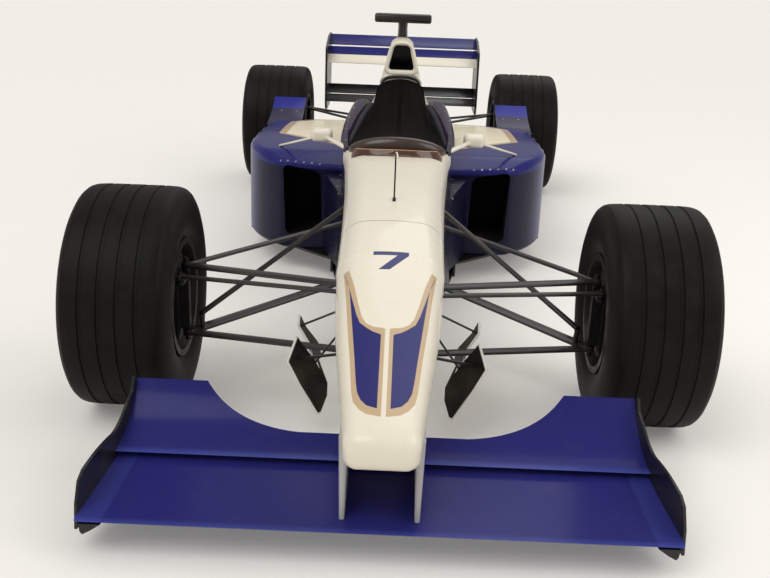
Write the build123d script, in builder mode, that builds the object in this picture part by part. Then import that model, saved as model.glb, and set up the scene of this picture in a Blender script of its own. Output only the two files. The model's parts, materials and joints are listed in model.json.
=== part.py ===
# Open wheel single-seat racing car, millimetres. X across the car (driver's left is +X),
# the nose points to -Y, Z up from the ground. The origin is under the middle of the car.
import os

from build123d import *

os.makedirs("parts", exist_ok=True)

# Whole car. Stations are distances behind the front axle unless a name says otherwise.
wheelbase = 3140
front_overhang = 870
rear_overhang = 500
front_axle_y = front_overhang - (front_overhang + wheelbase + rear_overhang) / 2
rear_axle_y = front_axle_y + wheelbase
overall_width = 1795

# Wheels: two sizes of tyre on 13 inch rims.
front_tyre_radius = 325
front_tyre_width = 305
rear_tyre_radius = 330
rear_tyre_width = 365
rim_radius = 165
rim_flange_height = 11
rim_wall = 8
rim_inset = 12
tyre_tread_inset = 24
tyre_facets = 88
bead_seat_gap = 0.3
bead_inset = 34
wheel_face_thickness = 14
wheel_face_inset = 62
wheel_window_count = 10
wheel_window_width = 42
wheel_window_length = 66
wheel_hub_radius = 52
wheel_nut_radius = 34
wheel_nut_length = 26
spindle_radius = 25
running_clearance = 0.05
wheel_track_inset = 297.5
rear_floor_gap = 32.5
rear_plate_gap = 73

# Steering: an upright turns on a vertical kingpin, its arm reaches ahead of the axle.
kingpin_x = overall_width / 2 - wheel_track_inset
kingpin_radius = 8
kingpin_low_z = 190
kingpin_high_z = 446
steering_arm = 85
steering_pin_radius = 5
steering_eye_hole = 9.5
steering_eye_wall = 4.5
steering_link_z = 415
upper_joint_z = 423
lower_joint_z = 213
joint_eye_radius = 15
joint_eye_height = 18
upright_plate_width = 84
upright_plate_thickness = 22
upright_gap = 5
duct_radius = 136
duct_width = 44

# Central body.
spine_half = 250
tub_end = 1850
plank_bottom_z = 30
plank_thickness = 10
plank_half = 150
step_z = 90
floor_thickness = 10
floor_half = 660
shell_wall = 8
rear_floor_half = overall_width / 2 - rear_tyre_width - rear_floor_gap

ground_clearance_z = plank_bottom_z + plank_thickness
tub_bottom_z = ground_clearance_z + floor_thickness
pod_bottom_z = step_z + floor_thickness


def front(distance):
    """Row Y of a station behind the front axle (negative is ahead of it)."""
    return front_axle_y + distance


def rear(distance):
    """Row Y of a station behind the rear axle."""
    return rear_axle_y + distance


def cross_plane(y):
    """A plane across the car whose sketch X is the car's X and sketch Y is height."""
    return Plane(origin=(0, y, 0), x_dir=(1, 0, 0), z_dir=(0, -1, 0))


def side_plane(x):
    """A plane along the car whose sketch X is the car's Y and sketch Y is height."""
    return Plane(origin=(x, 0, 0), x_dir=(0, 1, 0), z_dir=(1, 0, 0))


def body_section(y, half_low, half_high, low, high, crown, low_radius, high_radius):
    """One cross section: straight flanks, rounded corners and a crowned top."""
    with BuildSketch(cross_plane(y)) as outline:
        with BuildLine():
            Polyline((half_high, high), (half_low, low), (-half_low, low), (-half_high, high))
            ThreePointArc((-half_high, high), (0, high + crown), (half_high, high))
        make_face()
        fillet(outline.vertices().group_by(Axis.Y)[-1], high_radius)
        fillet(outline.vertices().group_by(Axis.Y)[0], low_radius)
    return outline.sketch


def body_loft(sections, wall=0, mode=Mode.ADD):
    """Lofts body sections, shrunk all round by a wall where one is given."""
    faces = []
    for y, half_low, half_high, low, high, crown, low_radius, high_radius in sections:
        faces.append(
            body_section(
                y,
                half_low - wall,
                half_high - wall,
                low + wall,
                high - wall,
                crown,
                max(low_radius - wall, low_radius / 2),
                max(high_radius - wall, high_radius / 2),
            )
        )
    loft(faces, ruled=True, mode=mode)


def waisted_loft(sections, wall=0, mode=Mode.ADD):
    """Lofts sections whose flanks sweep in from a wide foot to a narrow upright top."""
    faces = []
    for y, half_foot, foot, half_bend, bend, half_neck, neck, half_top, top in sections:
        with BuildSketch(cross_plane(y)) as outline:
            with BuildLine():
                Line((half_foot - wall * 2, foot), (wall * 2 - half_foot, foot))
                for side in (-1, 1):
                    ThreePointArc(
                        (side * (half_foot - wall * 2), foot),
                        (side * (half_bend - wall * 1.3), bend),
                        (side * (half_neck - wall), neck),
                    )
                    Line((side * (half_neck - wall), neck), (side * (half_top - wall), top - wall))
                ThreePointArc(
                    (wall - half_top, top - wall), (0, top + top_crown - wall), (half_top - wall, top - wall)
                )
            make_face()
        faces.append(outline.sketch)
    loft(faces, ruled=True, mode=mode)


def block_loft(sections, corner, mode=Mode.ADD):
    """Lofts rounded rectangles given by row Y, half width, bottom height and top height."""
    faces = []
    for y, half, low, high in sections:
        with BuildSketch(cross_plane(y)) as face:
            with Locations((0, (low + high) / 2)):
                RectangleRounded(half * 2, high - low, corner)
        faces.append(face.sketch)
    loft(faces, ruled=True, mode=mode)


def rod(start, end, chord, thickness, chord_way=(0, 1, 0)):
    """A streamlined rod between two points, its chord turned as near chord_way as it can be."""
    start, end = Vector(*start), Vector(*end)
    along = (end - start).normalized()
    way = Vector(*chord_way)
    across = way - along * way.dot(along)
    with BuildSketch(Plane(origin=start, x_dir=across, z_dir=along)) as profile:
        Ellipse(chord / 2, thickness / 2)
    extrude(profile.sketch, amount=(end - start).length)


def both_sides():
    """Adds the mirror image of all that the open part holds."""
    mirror(about=Plane.YZ)


def save(part, name):
    """Labels a finished piece and writes its file."""
    part.label = name
    export_step(part, f"parts/{name}.step")


# Nose and tub
# Columns: row Y, half width low and high, height low and high, crown, corner radius low and high.
nose_join = front(-200)
nose_sections = (
    (front(-front_overhang), 52, 46, 262, 300, 5, 16, 18),
    (front(-845), 84, 86, 248, 326, 7, 22, 30),
    (front(-640), 100, 113, 252, 392, 10, 26, 42),
    (front(-440), 116, 138, 262, 462, 12, 30, 52),
    (nose_join, 138, 150, 285, 532, 14, 34, 60),
)
tub_sections = (
    nose_sections[-1],
    (front(0), 146, 152, 278, 566, 16, 36, 64),
    (front(400), 160, 165, 236, 606, 18, 40, 66),
    (front(840), 196, 190, 96, 624, 20, 40, 60),
    (front(1000), 228, 206, tub_bottom_z, 596, 6, 30, 30),
    (front(tub_end), spine_half, 222, tub_bottom_z, 600, 6, 30, 30),
)

with BuildPart() as nose_blank:
    body_loft(nose_sections)

tub_wall = 30
cockpit_front = front(905)
cockpit_back = front(tub_end - 150)
cockpit_half = 168
cockpit_corner = 60
cavity_front = front(330)
cavity_corner = 30
keel_half = 42
keel_front = front(-150)
keel_back = front(330)
keel_bottom_z = 186
keel_top_z = 330

with BuildPart() as tub_outside:
    body_loft(tub_sections)
    with BuildSketch(Plane.XY.offset(keel_bottom_z)):
        with Locations((0, (keel_front + keel_back) / 2)):
            SlotOverall(keel_back - keel_front, keel_half * 2, rotation=90)
    extrude(amount=keel_top_z - keel_bottom_z)

# The cavity follows the tub's own sections inside its wall.
# Columns: row Y, half width, floor height, roof height.
knee, dash, seat = tub_sections[2:5]
cavity_sections = (
    (cavity_front, knee[1] - tub_wall, 290, 560),
    (dash[0], dash[2] - tub_wall, dash[3] + tub_wall, 570),
    (seat[0], seat[1] - tub_wall, tub_bottom_z + tub_wall, 560),
    (cockpit_back, spine_half - tub_wall, tub_bottom_z + tub_wall, 560),
)
with BuildPart() as monocoque:
    add(tub_outside.part)
    block_loft(cavity_sections, cavity_corner, mode=Mode.SUBTRACT)
    with BuildSketch(Plane.XY.offset(500)):
        with Locations((0, (cockpit_front + cockpit_back) / 2)):
            RectangleRounded(cockpit_half * 2, cockpit_back - cockpit_front, cockpit_corner)
    extrude(amount=200, mode=Mode.SUBTRACT)
save(monocoque.part, "monocoque")

# Raised cockpit sides on the tub rim.
surround_front = front(985)
surround_back = front(tub_end - 90)
surround_top_front_z = 606
surround_top_back_z = 700
with BuildPart() as cockpit_surround:
    with BuildSketch(Plane.XY.offset(560)):
        with BuildLine():
            Polyline(
                (232, surround_front),
                (236, surround_back),
                (112, surround_back),
                (126, surround_back - 160),
                (158, surround_back - 360),
                (196, surround_front),
                (232, surround_front),
            )
        make_face()
    extrude(amount=220)
    with BuildSketch(side_plane(0)):
        with BuildLine():
            Polyline(
                (surround_front, 560),
                (surround_back, 560),
                (surround_back, surround_top_back_z),
                (surround_front, surround_top_front_z),
                (surround_front, 560),
            )
        make_face()
    extrude(amount=300, both=True, mode=Mode.INTERSECT)
    outer_top = cockpit_surround.edges().filter_by(lambda e: e.center().X > 225).sort_by(Axis.Z)[-1]
    fillet(outer_top, 22)
    add(tub_outside.part, mode=Mode.SUBTRACT)
    both_sides()
save(cockpit_surround.part, "cockpit_surround")

# Roll hoop and intake, then the engine cover behind it.
airbox_front = front(tub_end - 85)
airbox_top_z = 938
top_crown = 12
# Columns: row Y, half width and height of the foot, of the flank's bend, of its neck and of the top.
airbox_sections = (
    (airbox_front, 172, 560, 106, 665, 82, 790, 45, airbox_top_z),
    (front(tub_end), 184, 560, 108, 665, 84, 790, 46, airbox_top_z),
)
mouth_low_z = 812
mouth_top_z = 922
mouth_half_low = 60
mouth_half_high = 34
mouth_corner = 14
with BuildPart() as airbox:
    waisted_loft(airbox_sections)
    with BuildSketch(cross_plane(airbox_front)) as mouth:
        with BuildLine():
            Polyline(
                (mouth_half_low, mouth_low_z),
                (mouth_half_high, mouth_top_z),
                (-mouth_half_high, mouth_top_z),
                (-mouth_half_low, mouth_low_z),
                (mouth_half_low, mouth_low_z),
            )
        make_face()
        fillet(mouth.vertices(), mouth_corner)
    extrude(amount=-(front(tub_end) - airbox_front), mode=Mode.SUBTRACT)
    add(tub_outside.part, mode=Mode.SUBTRACT)
save(airbox.part, "airbox")

cover_front = front(tub_end)
cover_sections = (
    (cover_front, spine_half, 482, 122, 650, 84, 790, 46, airbox_top_z),
    (cover_front + 530, spine_half, 458, 124, 620, 80, 750, 42, 890),
    (rear(-350), spine_half - 20, 408, 112, 540, 62, 640, 32, 750),
    (rear(60), 110, 372, 64, 430, 38, 476, 20, 530),
)
with BuildPart() as engine_cover:
    waisted_loft(cover_sections)
    open_sections = [(y, half, foot - shell_wall * 3, *rest) for y, half, foot, *rest in cover_sections]
    waisted_loft(open_sections, wall=shell_wall, mode=Mode.SUBTRACT)
    with BuildSketch(cross_plane(cover_front)) as cover_mouth:
        with BuildLine():
            Polyline(
                (mouth_half_low, mouth_low_z),
                (mouth_half_high, mouth_top_z),
                (-mouth_half_high, mouth_top_z),
                (-mouth_half_low, mouth_low_z),
                (mouth_half_low, mouth_low_z),
            )
        make_face()
        fillet(cover_mouth.vertices(), mouth_corner)
    extrude(amount=-shell_wall * 2, mode=Mode.SUBTRACT)
save(engine_cover.part, "engine_cover")

# Camera pod on its stem above the intake.
camera_y = cover_front + 50
camera_z = 1029
camera_half = 128
camera_chord = 92
camera_height = 38
camera_corner = 16
camera_stem_half = 22
camera_stem_length = 84
with BuildPart() as camera_pod:
    with BuildSketch(side_plane(-camera_half)):
        with Locations((camera_y, camera_z)):
            RectangleRounded(camera_chord, camera_height, camera_corner)
    extrude(amount=camera_half * 2)
    with BuildSketch(Plane.XY.offset(airbox_top_z - 40)):
        with Locations((0, camera_y)):
            Ellipse(camera_stem_half, camera_stem_length / 2)
    extrude(amount=camera_z - airbox_top_z + 40)
    with BuildPart(mode=Mode.PRIVATE) as cover_outside:
        waisted_loft(cover_sections)
    add(cover_outside.part, mode=Mode.SUBTRACT)
save(camera_pod.part, "camera_pod")

# Fabric cover stretched over the cockpit opening, from the screen to the roll hoop.
# Columns: row Y, half width, edge height, height at the middle.
cover_gap = 0.4
fabric_sections = (
    (front(965), 172, 609, 652),
    (front(1200), 166, 640, 690),
    (front(1500), 136, 690, 738),
    (airbox_front - cover_gap, 92, 752, 780),
)
fabric_depth = 4
with BuildPart() as cockpit_cover:
    for fabric_y, fabric_half, fabric_edge, fabric_mid in fabric_sections:
        with BuildSketch(cross_plane(fabric_y)):
            with BuildLine():
                ThreePointArc((-fabric_half, fabric_edge), (0, fabric_mid), (fabric_half, fabric_edge))
                Line((fabric_half, fabric_edge), (fabric_half, fabric_edge - fabric_depth))
                ThreePointArc(
                    (fabric_half, fabric_edge - fabric_depth),
                    (0, fabric_mid - fabric_depth),
                    (-fabric_half, fabric_edge - fabric_depth),
                )
                Line((-fabric_half, fabric_edge - fabric_depth), (-fabric_half, fabric_edge))
            make_face()
    loft(ruled=True)
save(cockpit_cover.part, "cockpit_cover")

# Low smoked screen round the front of the opening.
screen_mid_y = front(836)
screen_end_y = front(985)
screen_half = 184
screen_thickness = 4
screen_height = 62
screen_lean = 0.55
with BuildPart() as windscreen:
    with BuildSketch(Plane.XY.offset(600)):
        with BuildLine():
            ThreePointArc((-screen_half, screen_end_y), (0, screen_mid_y), (screen_half, screen_end_y))
            Line((screen_half, screen_end_y), (screen_half - screen_thickness, screen_end_y))
            ThreePointArc(
                (screen_half - screen_thickness, screen_end_y),
                (0, screen_mid_y + screen_thickness),
                (screen_thickness - screen_half, screen_end_y),
            )
            Line((screen_thickness - screen_half, screen_end_y), (-screen_half, screen_end_y))
        make_face()
    extrude(amount=screen_height, dir=(0, screen_lean, 1))
    add(tub_outside.part, mode=Mode.SUBTRACT)
    add(cockpit_surround.part, mode=Mode.SUBTRACT)
save(windscreen.part, "windscreen")

antenna_y = front(170)
antenna_length = 150
antenna_radius = 2.5
antenna_base = (34, 10, 12)
antenna_foot_z = 570
with BuildPart() as antenna:
    with BuildSketch(Plane.XY.offset(antenna_foot_z)):
        with Locations((0, antenna_y)):
            SlotOverall(antenna_base[0], antenna_base[1], rotation=90)
    extrude(amount=antenna_base[2] + 24)
    with BuildSketch(Plane.XY.offset(antenna_foot_z)):
        with Locations((0, antenna_y)):
            Circle(antenna_radius)
    extrude(amount=antenna_length + 24)
    add(tub_outside.part, mode=Mode.SUBTRACT)
save(antenna.part, "antenna")

# Side pods: a plan outline and a side profile cut from each other, hollow from mouth to tail.
pod_mouth_y = front(1320)
pod_cheek_y = front(1650)
pod_waist_y = rear(-800)
pod_tail_y = rear(-350)
pod_mouth_outer = 482
# The mouth's corners, from its low inner one round by the low outer one. Columns: X, height.
pod_mouth_corners = ((304, 202), (464, 172), (476, 458), (317, 436), (304, 202))
pod_tail_half = 400
pod_inner_front = front(1270)
pod_wall = 12
pod_front_z = 462
pod_lip_y = front(1420)
pod_crest_y = front(1900)
pod_crest_z = 505
pod_tail_z = 418
pod_mouth_corner = 26
# The tub's flank flares into the pod. Columns: row Y, half width, bottom height, top height.
pod_flare = ((front(900), 200, 120, 420), (front(1300), 306, pod_bottom_z, 436))
pod_reach = 120
pod_headroom = 60


def pod_block(inset):
    """The side pod's outer form, shrunk by an inset for the space inside it."""
    with BuildSketch(Plane.XY.offset(pod_bottom_z + inset)) as plan:
        with BuildLine():
            Line((spine_half, pod_tail_y), (spine_half, cover_front))
            Line((spine_half, cover_front), (spine_half - pod_reach, cover_front))
            Line((spine_half - pod_reach, cover_front), (spine_half - pod_reach, pod_inner_front))
            Line((spine_half - pod_reach, pod_inner_front), (pod_mouth_outer, pod_mouth_y))
            ThreePointArc(
                (pod_mouth_outer, pod_mouth_y),
                (pod_mouth_outer + 132, (pod_mouth_y + pod_cheek_y) / 2),
                (floor_half, pod_cheek_y),
            )
            Line((floor_half, pod_cheek_y), (floor_half, pod_waist_y))
            Line((floor_half, pod_waist_y), (pod_tail_half, pod_tail_y))
            Line((pod_tail_half, pod_tail_y), (spine_half, pod_tail_y))
        make_face()
        if inset:
            offset(amount=-inset, kind=Kind.INTERSECTION, mode=Mode.REPLACE)
    extrude(plan.sketch, amount=pod_crest_z + pod_headroom - pod_bottom_z)
    with BuildSketch(side_plane(0)) as profile:
        with BuildLine():
            Polyline(
                (pod_inner_front, pod_front_z),
                (pod_inner_front, pod_bottom_z),
                (pod_tail_y, pod_bottom_z),
                (pod_tail_y, pod_tail_z),
            )
            ThreePointArc((pod_tail_y, pod_tail_z), (pod_crest_y, pod_crest_z), (pod_lip_y, pod_crest_z))
            Line((pod_lip_y, pod_crest_z), (pod_inner_front, pod_front_z))
        make_face()
        if inset:
            offset(amount=-inset, kind=Kind.INTERSECTION, mode=Mode.REPLACE)
    extrude(profile.sketch, amount=floor_half + pod_headroom, mode=Mode.INTERSECT)


with BuildPart() as pod_space:
    pod_block(pod_wall)
    with BuildSketch(Plane.XY):
        with Locations((0, (cover_front + pod_inner_front) / 2 - 50)):
            Rectangle(2 * (spine_half + pod_wall), cover_front - pod_inner_front + 100 + 2 * pod_wall)
    extrude(amount=pod_crest_z + 60, mode=Mode.SUBTRACT)
with BuildPart() as sidepod_left:
    pod_block(0)
    add(pod_space.part, mode=Mode.SUBTRACT)
    flare_ends = []
    for flare_y, flare_half, flare_low, flare_high in pod_flare:
        with BuildSketch(cross_plane(flare_y)) as flare_end:
            with Locations(((spine_half - pod_reach + flare_half) / 2, (flare_low + flare_high) / 2)):
                Rectangle(flare_half - spine_half + pod_reach, flare_high - flare_low)
        flare_ends.append(flare_end.sketch)
    loft(flare_ends, ruled=True)
    with BuildSketch(cross_plane(pod_mouth_y - 80)) as pod_mouth:
        with BuildLine():
            Polyline(*pod_mouth_corners)
        make_face()
        fillet(pod_mouth.vertices(), pod_mouth_corner)
    extrude(pod_mouth.sketch, amount=-140, mode=Mode.SUBTRACT)
    with BuildSketch(cross_plane(pod_tail_y - pod_wall * 2)):
        with Locations(((spine_half + pod_tail_half) / 2, (pod_bottom_z + pod_tail_z) / 2)):
            Rectangle(pod_tail_half - spine_half - 2 * pod_wall, pod_tail_z - pod_bottom_z - 3 * pod_wall)
    extrude(amount=-pod_wall * 3, mode=Mode.SUBTRACT)
    add(tub_outside.part, mode=Mode.SUBTRACT)
save(sidepod_left.part, "sidepod_left")
with BuildPart() as sidepod_right:
    mirror(sidepod_left.part, about=Plane.YZ)
save(sidepod_right.part, "sidepod_right")

# Mirrors, each on a stalk to the tub and one to the side pod.
mirror_x = 311
mirror_y = front(1250)
mirror_z = 606
mirror_width = 88
mirror_height = 46
mirror_depth = 46
mirror_corner = 16
mirror_stalk = (16, 8)
mirror_foot = (510, front(1490), 502)
with BuildPart() as mirrors:
    with BuildSketch(cross_plane(mirror_y + mirror_depth / 2)):
        with Locations((mirror_x, mirror_z)):
            RectangleRounded(mirror_width, mirror_height, mirror_corner)
    with BuildSketch(cross_plane(mirror_y - mirror_depth / 2)):
        with Locations((mirror_x, mirror_z)):
            RectangleRounded(mirror_width * 0.7, mirror_height * 0.6, mirror_corner * 0.6)
    loft(ruled=True)
    with BuildSketch(cross_plane(mirror_y + mirror_depth / 2)):
        with Locations((mirror_x, mirror_z)):
            RectangleRounded(mirror_width - 10, mirror_height - 10, mirror_corner - 5)
    extrude(amount=5, mode=Mode.SUBTRACT)
    rod((mirror_x - 20, mirror_y, mirror_z - 12), (222, front(1160), 578), *mirror_stalk)
    rod((mirror_x + 20, mirror_y, mirror_z), mirror_foot, *mirror_stalk)
    add(tub_outside.part, mode=Mode.SUBTRACT)
    add(cockpit_surround.part, mode=Mode.SUBTRACT)
    add(sidepod_left.part, mode=Mode.SUBTRACT)
    both_sides()
save(mirrors.part, "mirrors")

radiator_y = cover_front - 90
radiator_thickness = 60
radiator_top_z = 440
seat_gap = 0.3
radiator_inner = spine_half + pod_wall + seat_gap
radiator_outer = floor_half - pod_wall - seat_gap
with BuildPart() as radiators:
    with BuildSketch(Plane.XY.offset(pod_bottom_z + pod_wall + seat_gap)):
        with Locations(((radiator_inner + radiator_outer) / 2, radiator_y)):
            Rectangle(radiator_outer - radiator_inner, radiator_thickness)
    extrude(amount=radiator_top_z - pod_bottom_z - pod_wall)
    both_sides()
save(radiators.part, "radiators")

# Winglets on the pod shoulders ahead of the rear tyres.
flip_start_y = rear(-740)
flip_end_y = rear(-392)
flip_inner = 520
flip_outer = 692
flip_low_z = 440
flip_high_z = 535
flip_thickness = 10
flip_plate_inner = floor_half - 8
with BuildPart() as flip_ups:
    with BuildSketch(side_plane(flip_inner)):
        with BuildLine():
            ThreePointArc(
                (flip_start_y, flip_low_z),
                ((flip_start_y + flip_end_y) / 2 + 10, flip_low_z + 22),
                (flip_end_y, flip_high_z),
            )
            Line((flip_end_y, flip_high_z), (flip_end_y, flip_high_z - flip_thickness))
            ThreePointArc(
                (flip_end_y, flip_high_z - flip_thickness),
                ((flip_start_y + flip_end_y) / 2 + 10, flip_low_z + 22 - flip_thickness),
                (flip_start_y, flip_low_z - flip_thickness),
            )
            Line((flip_start_y, flip_low_z - flip_thickness), (flip_start_y, flip_low_z))
        make_face()
    extrude(amount=flip_outer - flip_inner)
    with BuildSketch(side_plane(flip_plate_inner)):
        with BuildLine():
            Polyline(
                (flip_start_y, pod_bottom_z),
                (flip_end_y - 50, pod_bottom_z),
                (flip_end_y, flip_high_z - 6),
                ((flip_start_y + flip_end_y) / 2 + 10, flip_low_z + 18),
                (flip_start_y, flip_low_z - 4),
                (flip_start_y, pod_bottom_z),
            )
        make_face()
    extrude(amount=floor_half - flip_plate_inner)
    with BuildPart(mode=Mode.PRIVATE) as pod_solid:
        pod_block(0)
    add(pod_solid.part, mode=Mode.SUBTRACT)
    both_sides()
save(flip_ups.part, "flip_ups")

# Floor: a low centre slab, a step riser each side and the raised side plates.
tray_front = front(620)
tray_half = 150
floor_back = rear(-330)
riser = 10
with BuildPart() as floor:
    with BuildSketch(Plane.XY.offset(ground_clearance_z)):
        with BuildLine():
            Polyline(
                (tray_half, tray_front),
                (spine_half, front(1180)),
                (spine_half, floor_back),
                (-spine_half, floor_back),
                (-spine_half, front(1180)),
                (-tray_half, tray_front),
                (tray_half, tray_front),
            )
        make_face()
    extrude(amount=floor_thickness)
    with BuildSketch(Plane.XY.offset(step_z)) as side_plates:
        with BuildLine():
            Line((spine_half, floor_back), (spine_half, front(1180)))
            ThreePointArc((spine_half, front(1180)), (430, front(1345)), (floor_half, pod_cheek_y))
            Polyline(
                (floor_half, pod_cheek_y),
                (floor_half, rear(-430)),
                (rear_floor_half, rear(-350)),
                (rear_floor_half, floor_back),
                (spine_half, floor_back),
            )
        make_face()
    extrude(amount=floor_thickness)
    with BuildSketch(Plane.XY.offset(ground_clearance_z)):
        with Locations((spine_half + riser / 2, (front(1180) + floor_back) / 2)):
            Rectangle(riser, floor_back - front(1180))
    extrude(amount=pod_bottom_z - ground_clearance_z)
    both_sides()
save(floor.part, "floor")

with BuildPart() as plank:
    with BuildSketch(Plane.XY.offset(plank_bottom_z)):
        with Locations((0, (tray_front + floor_back) / 2)):
            RectangleRounded(plank_half * 2, floor_back - tray_front, 40)
    extrude(amount=plank_thickness)
save(plank.part, "plank")

diffuser_back = rear(350)
diffuser_high_z = 262
diffuser_wall = 8
diffuser_keel_z = 110
strake_wall = 6
strakes = (rear_floor_half - strake_wall / 2, 310, 150)
with BuildPart() as diffuser:
    with BuildSketch(side_plane(-rear_floor_half)):
        with BuildLine():
            Polyline(
                (floor_back, step_z),
                (diffuser_back, diffuser_high_z),
                (diffuser_back, diffuser_high_z + diffuser_wall),
                (floor_back, pod_bottom_z),
                (floor_back, step_z),
            )
        make_face()
    extrude(amount=rear_floor_half * 2)
    for strake_x in strakes:
        with BuildSketch(side_plane(strake_x - strake_wall / 2)):
            with BuildLine():
                Polyline(
                    (floor_back, step_z),
                    (floor_back + 60, tub_bottom_z),
                    (diffuser_back, diffuser_keel_z),
                    (diffuser_back, diffuser_high_z + 2),
                    (floor_back, step_z + 2),
                    (floor_back, step_z),
                )
            make_face()
        extrude(amount=strake_wall)
    both_sides()
save(diffuser.part, "diffuser")

# Engine, gearbox and the crash structure behind it.
engine_half = 200
engine_back = rear(-640)
engine_top_z = 440
with BuildPart() as engine_block:
    with BuildSketch(Plane.XY.offset(tub_bottom_z)):
        with Locations((0, (cover_front + engine_back) / 2)):
            Rectangle(engine_half * 2, engine_back - cover_front)
    extrude(amount=engine_top_z - tub_bottom_z)
save(engine_block.part, "engine_block")

# Columns: row Y, half width, bottom height, top height.
gearbox_sections = (
    (engine_back, 120, 120, 404),
    (rear(-200), 96, 152, 388),
    (rear(130), 84, 228, 366),
)
gearbox_corner = 26
output_boss_radius = 44
output_boss_x = 112
output_bore_radius = 20
output_bore_depth = 22
with BuildPart() as gearbox:
    block_loft(gearbox_sections, gearbox_corner)
    with BuildSketch(side_plane(-output_boss_x)):
        with Locations((rear_axle_y, rear_tyre_radius)):
            Circle(output_boss_radius)
    extrude(amount=output_boss_x * 2)
    for boss_side in (-output_boss_x, output_boss_x - output_bore_depth):
        with BuildSketch(side_plane(boss_side)):
            with Locations((rear_axle_y, rear_tyre_radius)):
                Circle(output_bore_radius + running_clearance)
        extrude(amount=output_bore_depth, mode=Mode.SUBTRACT)
save(gearbox.part, "gearbox")

tail_back = rear(470)
tail_corner = 16
jack_pin_radius = 12
jack_pin_half = 95
jack_boss_radius = 20
jack_boss_half = 45
jack_pin_y = rear(400)
jack_pin_z = 330
# Columns: row Y, half width, bottom height, top height.
tail_sections = ((rear(130), 62, 290, 372), (tail_back, 38, 300, 366))
with BuildPart() as crash_structure:
    block_loft(tail_sections, tail_corner)
    for jack_half, jack_radius in ((jack_pin_half, jack_pin_radius), (jack_boss_half, jack_boss_radius)):
        with BuildSketch(side_plane(-jack_half)):
            with Locations((jack_pin_y, jack_pin_z)):
                Circle(jack_radius)
        extrude(amount=jack_half * 2)
save(crash_structure.part, "crash_structure")

light_width = 60
light_height = 46
light_depth = 18
with BuildPart() as rear_light:
    with BuildSketch(cross_plane(tail_back)):
        with Locations((0, (tail_sections[1][2] + tail_sections[1][3]) / 2)):
            RectangleRounded(light_width, light_height, 6)
    extrude(amount=-light_depth)
save(rear_light.part, "rear_light")

exhaust_radius = 36
exhaust_wall = 2
exhaust_start = (165, engine_back, 262)
exhaust_end = (186, rear(-250), 340)
with BuildPart() as exhausts:
    rod(exhaust_start, exhaust_end, exhaust_radius * 2, exhaust_radius * 2)
    exhaust_way = Vector(*exhaust_end) - Vector(*exhaust_start)
    with BuildSketch(Plane(origin=exhaust_end, z_dir=exhaust_way)):
        Circle(exhaust_radius - exhaust_wall)
    extrude(amount=-exhaust_way.length / 2, mode=Mode.SUBTRACT)
    both_sides()
    split(bisect_by=Plane(origin=(0, engine_back, 0), z_dir=(0, 1, 0)))
save(exhausts.part, "exhausts")


def wing_profile(leading, trailing, thickness, dip):
    """A cambered wing section on the open side plane, between its two edges."""
    (y0, z0), (y1, z1) = leading, trailing
    mid_y, mid_z = (y0 + y1) / 2, (z0 + z1) / 2
    with BuildLine() as edge:
        ThreePointArc((y0, z0), (mid_y, mid_z - dip), (y1, z1))
        Line((y1, z1), (y1, z1 - 3))
        ThreePointArc((y1, z1 - 3), (mid_y - thickness * 0.3, mid_z - dip - thickness), (y0, z0 - 5))
        ThreePointArc((y0, z0 - 5), (y0 - 3, z0 - 2.5), (y0, z0))
    make_face(edge.edges())


# Rear wing: two upper elements and a lower beam between the endplates.
rear_wing_half = overall_width / 2 - rear_tyre_width - rear_plate_gap
rear_plate_thickness = 12
rear_wing_span_half = rear_wing_half - rear_plate_thickness
rear_plate_front = rear(140)
rear_plate_back = rear(rear_overhang)
rear_plate_low_z = 392
rear_plate_high_z = 824
rear_main_leading = (rear(150), 678)
rear_main_trailing = (rear(322), 756)
rear_flap_leading = (rear(330), 768)
rear_flap_trailing = (rear(480), 816)
beam_low_leading = (rear(158), 448)
beam_low_trailing = (rear(290), 472)
beam_high_leading = (rear(296), 480)
beam_high_trailing = (rear(372), 524)
beam_pillar_half = 16


def spanning_wing(leading, trailing, thickness, dip):
    """One wing element from endplate to endplate."""
    with BuildSketch(side_plane(-rear_wing_span_half)) as element:
        wing_profile(leading, trailing, thickness, dip)
    extrude(element.sketch, amount=rear_wing_span_half * 2)


with BuildPart() as rear_wing_main:
    spanning_wing(rear_main_leading, rear_main_trailing, 22, 14)
save(rear_wing_main.part, "rear_wing_main")
with BuildPart() as rear_wing_flap:
    spanning_wing(rear_flap_leading, rear_flap_trailing, 14, 8)
save(rear_wing_flap.part, "rear_wing_flap")

with BuildPart() as beam_wing:
    spanning_wing(beam_low_leading, beam_low_trailing, 14, 8)
    spanning_wing(beam_high_leading, beam_high_trailing, 10, 6)
    with BuildSketch(side_plane(-beam_pillar_half)):
        with BuildLine():
            Polyline(
                (rear(180), 340),
                (rear(330), 340),
                (rear(340), 500),
                (rear(296), 468),
                (rear(180), 448),
                (rear(180), 340),
            )
        make_face()
    extrude(amount=beam_pillar_half * 2)
    add(crash_structure.part, mode=Mode.SUBTRACT)
save(beam_wing.part, "beam_wing")

with BuildPart() as rear_endplates:
    with BuildSketch(side_plane(rear_wing_span_half)) as rear_plate:
        with BuildLine():
            Polyline(
                (rear_plate_front, 440),
                (rear_plate_front + 30, rear_plate_low_z),
                (rear(400), rear_plate_low_z),
                (rear_plate_back, 500),
                (rear_plate_back, rear_plate_high_z),
                (rear(320), rear_plate_high_z - 10),
                (rear_plate_front, rear_plate_high_z - 66),
                (rear_plate_front, 440),
            )
        make_face()
        fillet(rear_plate.vertices(), 18)
    extrude(amount=rear_plate_thickness)
    both_sides()
save(rear_endplates.part, "rear_endplates")

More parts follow.
